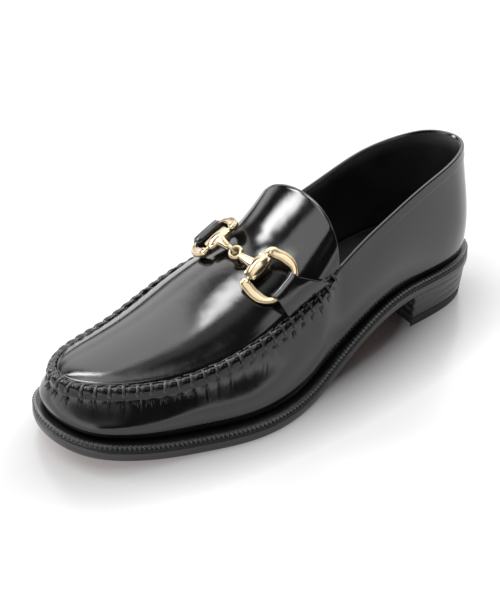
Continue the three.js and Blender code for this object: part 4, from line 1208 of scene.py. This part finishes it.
around = floorNodes.new("ShaderNodeMapping", {
    "Vector": floorNodes.place, "Location": (-middle[0] / halves[0], -middle[1] / halves[1], 0),
    "Scale": (1 / halves[0], 1 / halves[1], 0),
}).outputs["Vector"]
away = floorNodes.new("ShaderNodeVectorMath", {0: around}, operation="LENGTH").outputs["Value"]
# Painted shadow: no glow inside the ellipse round the shoe. Painted light rises just outside it, and rises
# again far off
near = floorNodes.spread(away, *studio["paintedShadowSpan"], 0, studio["paintedLightNear"])
far = floorNodes.spread(away, *studio["farSpan"], 0, studio["paintedLightFar"] - studio["paintedLightNear"])
floorNodes.link(floorNodes.math("ADD", near, far), "Emission Strength")
floorMesh = bpy.data.meshes.new("floor")
reach = studio["floor"]
corners = [(-reach, -reach, 0), (reach, -reach, 0), (reach, reach, 0), (-reach, reach, 0)]
floorMesh.from_pydata(corners, [], [(0, 1, 2, 3)])
floorMesh.materials.append(floorMaterial)
floor = addObject("floor", floorMesh)
floor.location.z = -0.0002


class Sky(Graph):
    def __init__(self, tree):
        super().__init__(tree)
        self.way = self.new("ShaderNodeTexCoord").outputs["Generated"]
        self.up = self.math("ARCSINE", self.new("ShaderNodeSeparateXYZ", {0: self.way}).outputs["Z"])

    def step(self, value, low, high):
        return self.spread(value, low, high, shape="SMOOTHSTEP")

    def panel(self, azimuth, half, low, high, soft, light):
        turn = {"Vector": self.way, "Angle": math.radians(azimuth)}
        turned = self.new("ShaderNodeVectorRotate", turn, rotation_type="Z_AXIS").outputs["Vector"]
        parts = self.new("ShaderNodeSeparateXYZ", {0: turned}).outputs
        away = self.math("ABSOLUTE", self.math("ARCTAN2", parts["X"], parts["Y"]))
        half, low, high, soft = (math.radians(v) for v in (half, low, high, soft))
        inside = self.step(away, half + soft, half - soft)
        above = self.step(self.up, low - soft, low + soft)
        below = self.step(self.up, high + soft, high - soft)
        whole = self.math("MULTIPLY", self.math("MULTIPLY", inside, above), below)
        return self.math("MULTIPLY", whole, light * studio["gain"])


world = bpy.data.worlds.new("studioWorld")
bpy.context.scene.world = world
world.use_nodes = True
sky = Sky(world.node_tree)
total = studio["dark"]
for panel in panels.values():
    total = sky.math("ADD", total, sky.panel(**panel))
seen = sky.new("ShaderNodeLightPath").outputs["Is Camera Ray"]
strength = sky.new("ShaderNodeMix", {0: seen, 2: total, 3: studio["seen"]}, data_type="FLOAT").outputs[0]
background = world.node_tree.nodes["Background"].inputs
world.node_tree.links.new(strength, background["Strength"])
background["Color"].default_value = (1, 1, 1, 1)

# Softbox over the toe; its rear edge leaves the middle of the apron dark
toeBox = {"middle": (-0.04, 0.475, 0.5), "size": (0.44, 0.48), "light": 1.8}
light = bpy.data.lights.new("toeBox", "AREA")
light.shape = "RECTANGLE"
light.size, light.size_y = toeBox["size"]
light.energy = toeBox["light"] * math.pi * light.size * light.size_y
softbox = addObject("toeBox", light)
softbox.location = toeBox["middle"]
softbox.visible_camera = False

view = {"at": (-0.4411, 0.484, 0.4064), "aim": (0.0007, 0.1273, 0.0415), "lens": 74.0}
camera = addObject("camera", bpy.data.cameras.new("camera"))
camera.location = view["at"]
camera.rotation_euler = (Vector(view["aim"]) - Vector(view["at"])).to_track_quat("-Z", "Y").to_euler()
camera.data.lens = view["lens"]
camera.data.sensor_width = 36
camera.data.clip_start = 0.01
bpy.context.scene.camera = camera
bpy.context.scene.view_settings.view_transform = "Standard"

bpy.context.view_layer.update()


print("stage and camera made")
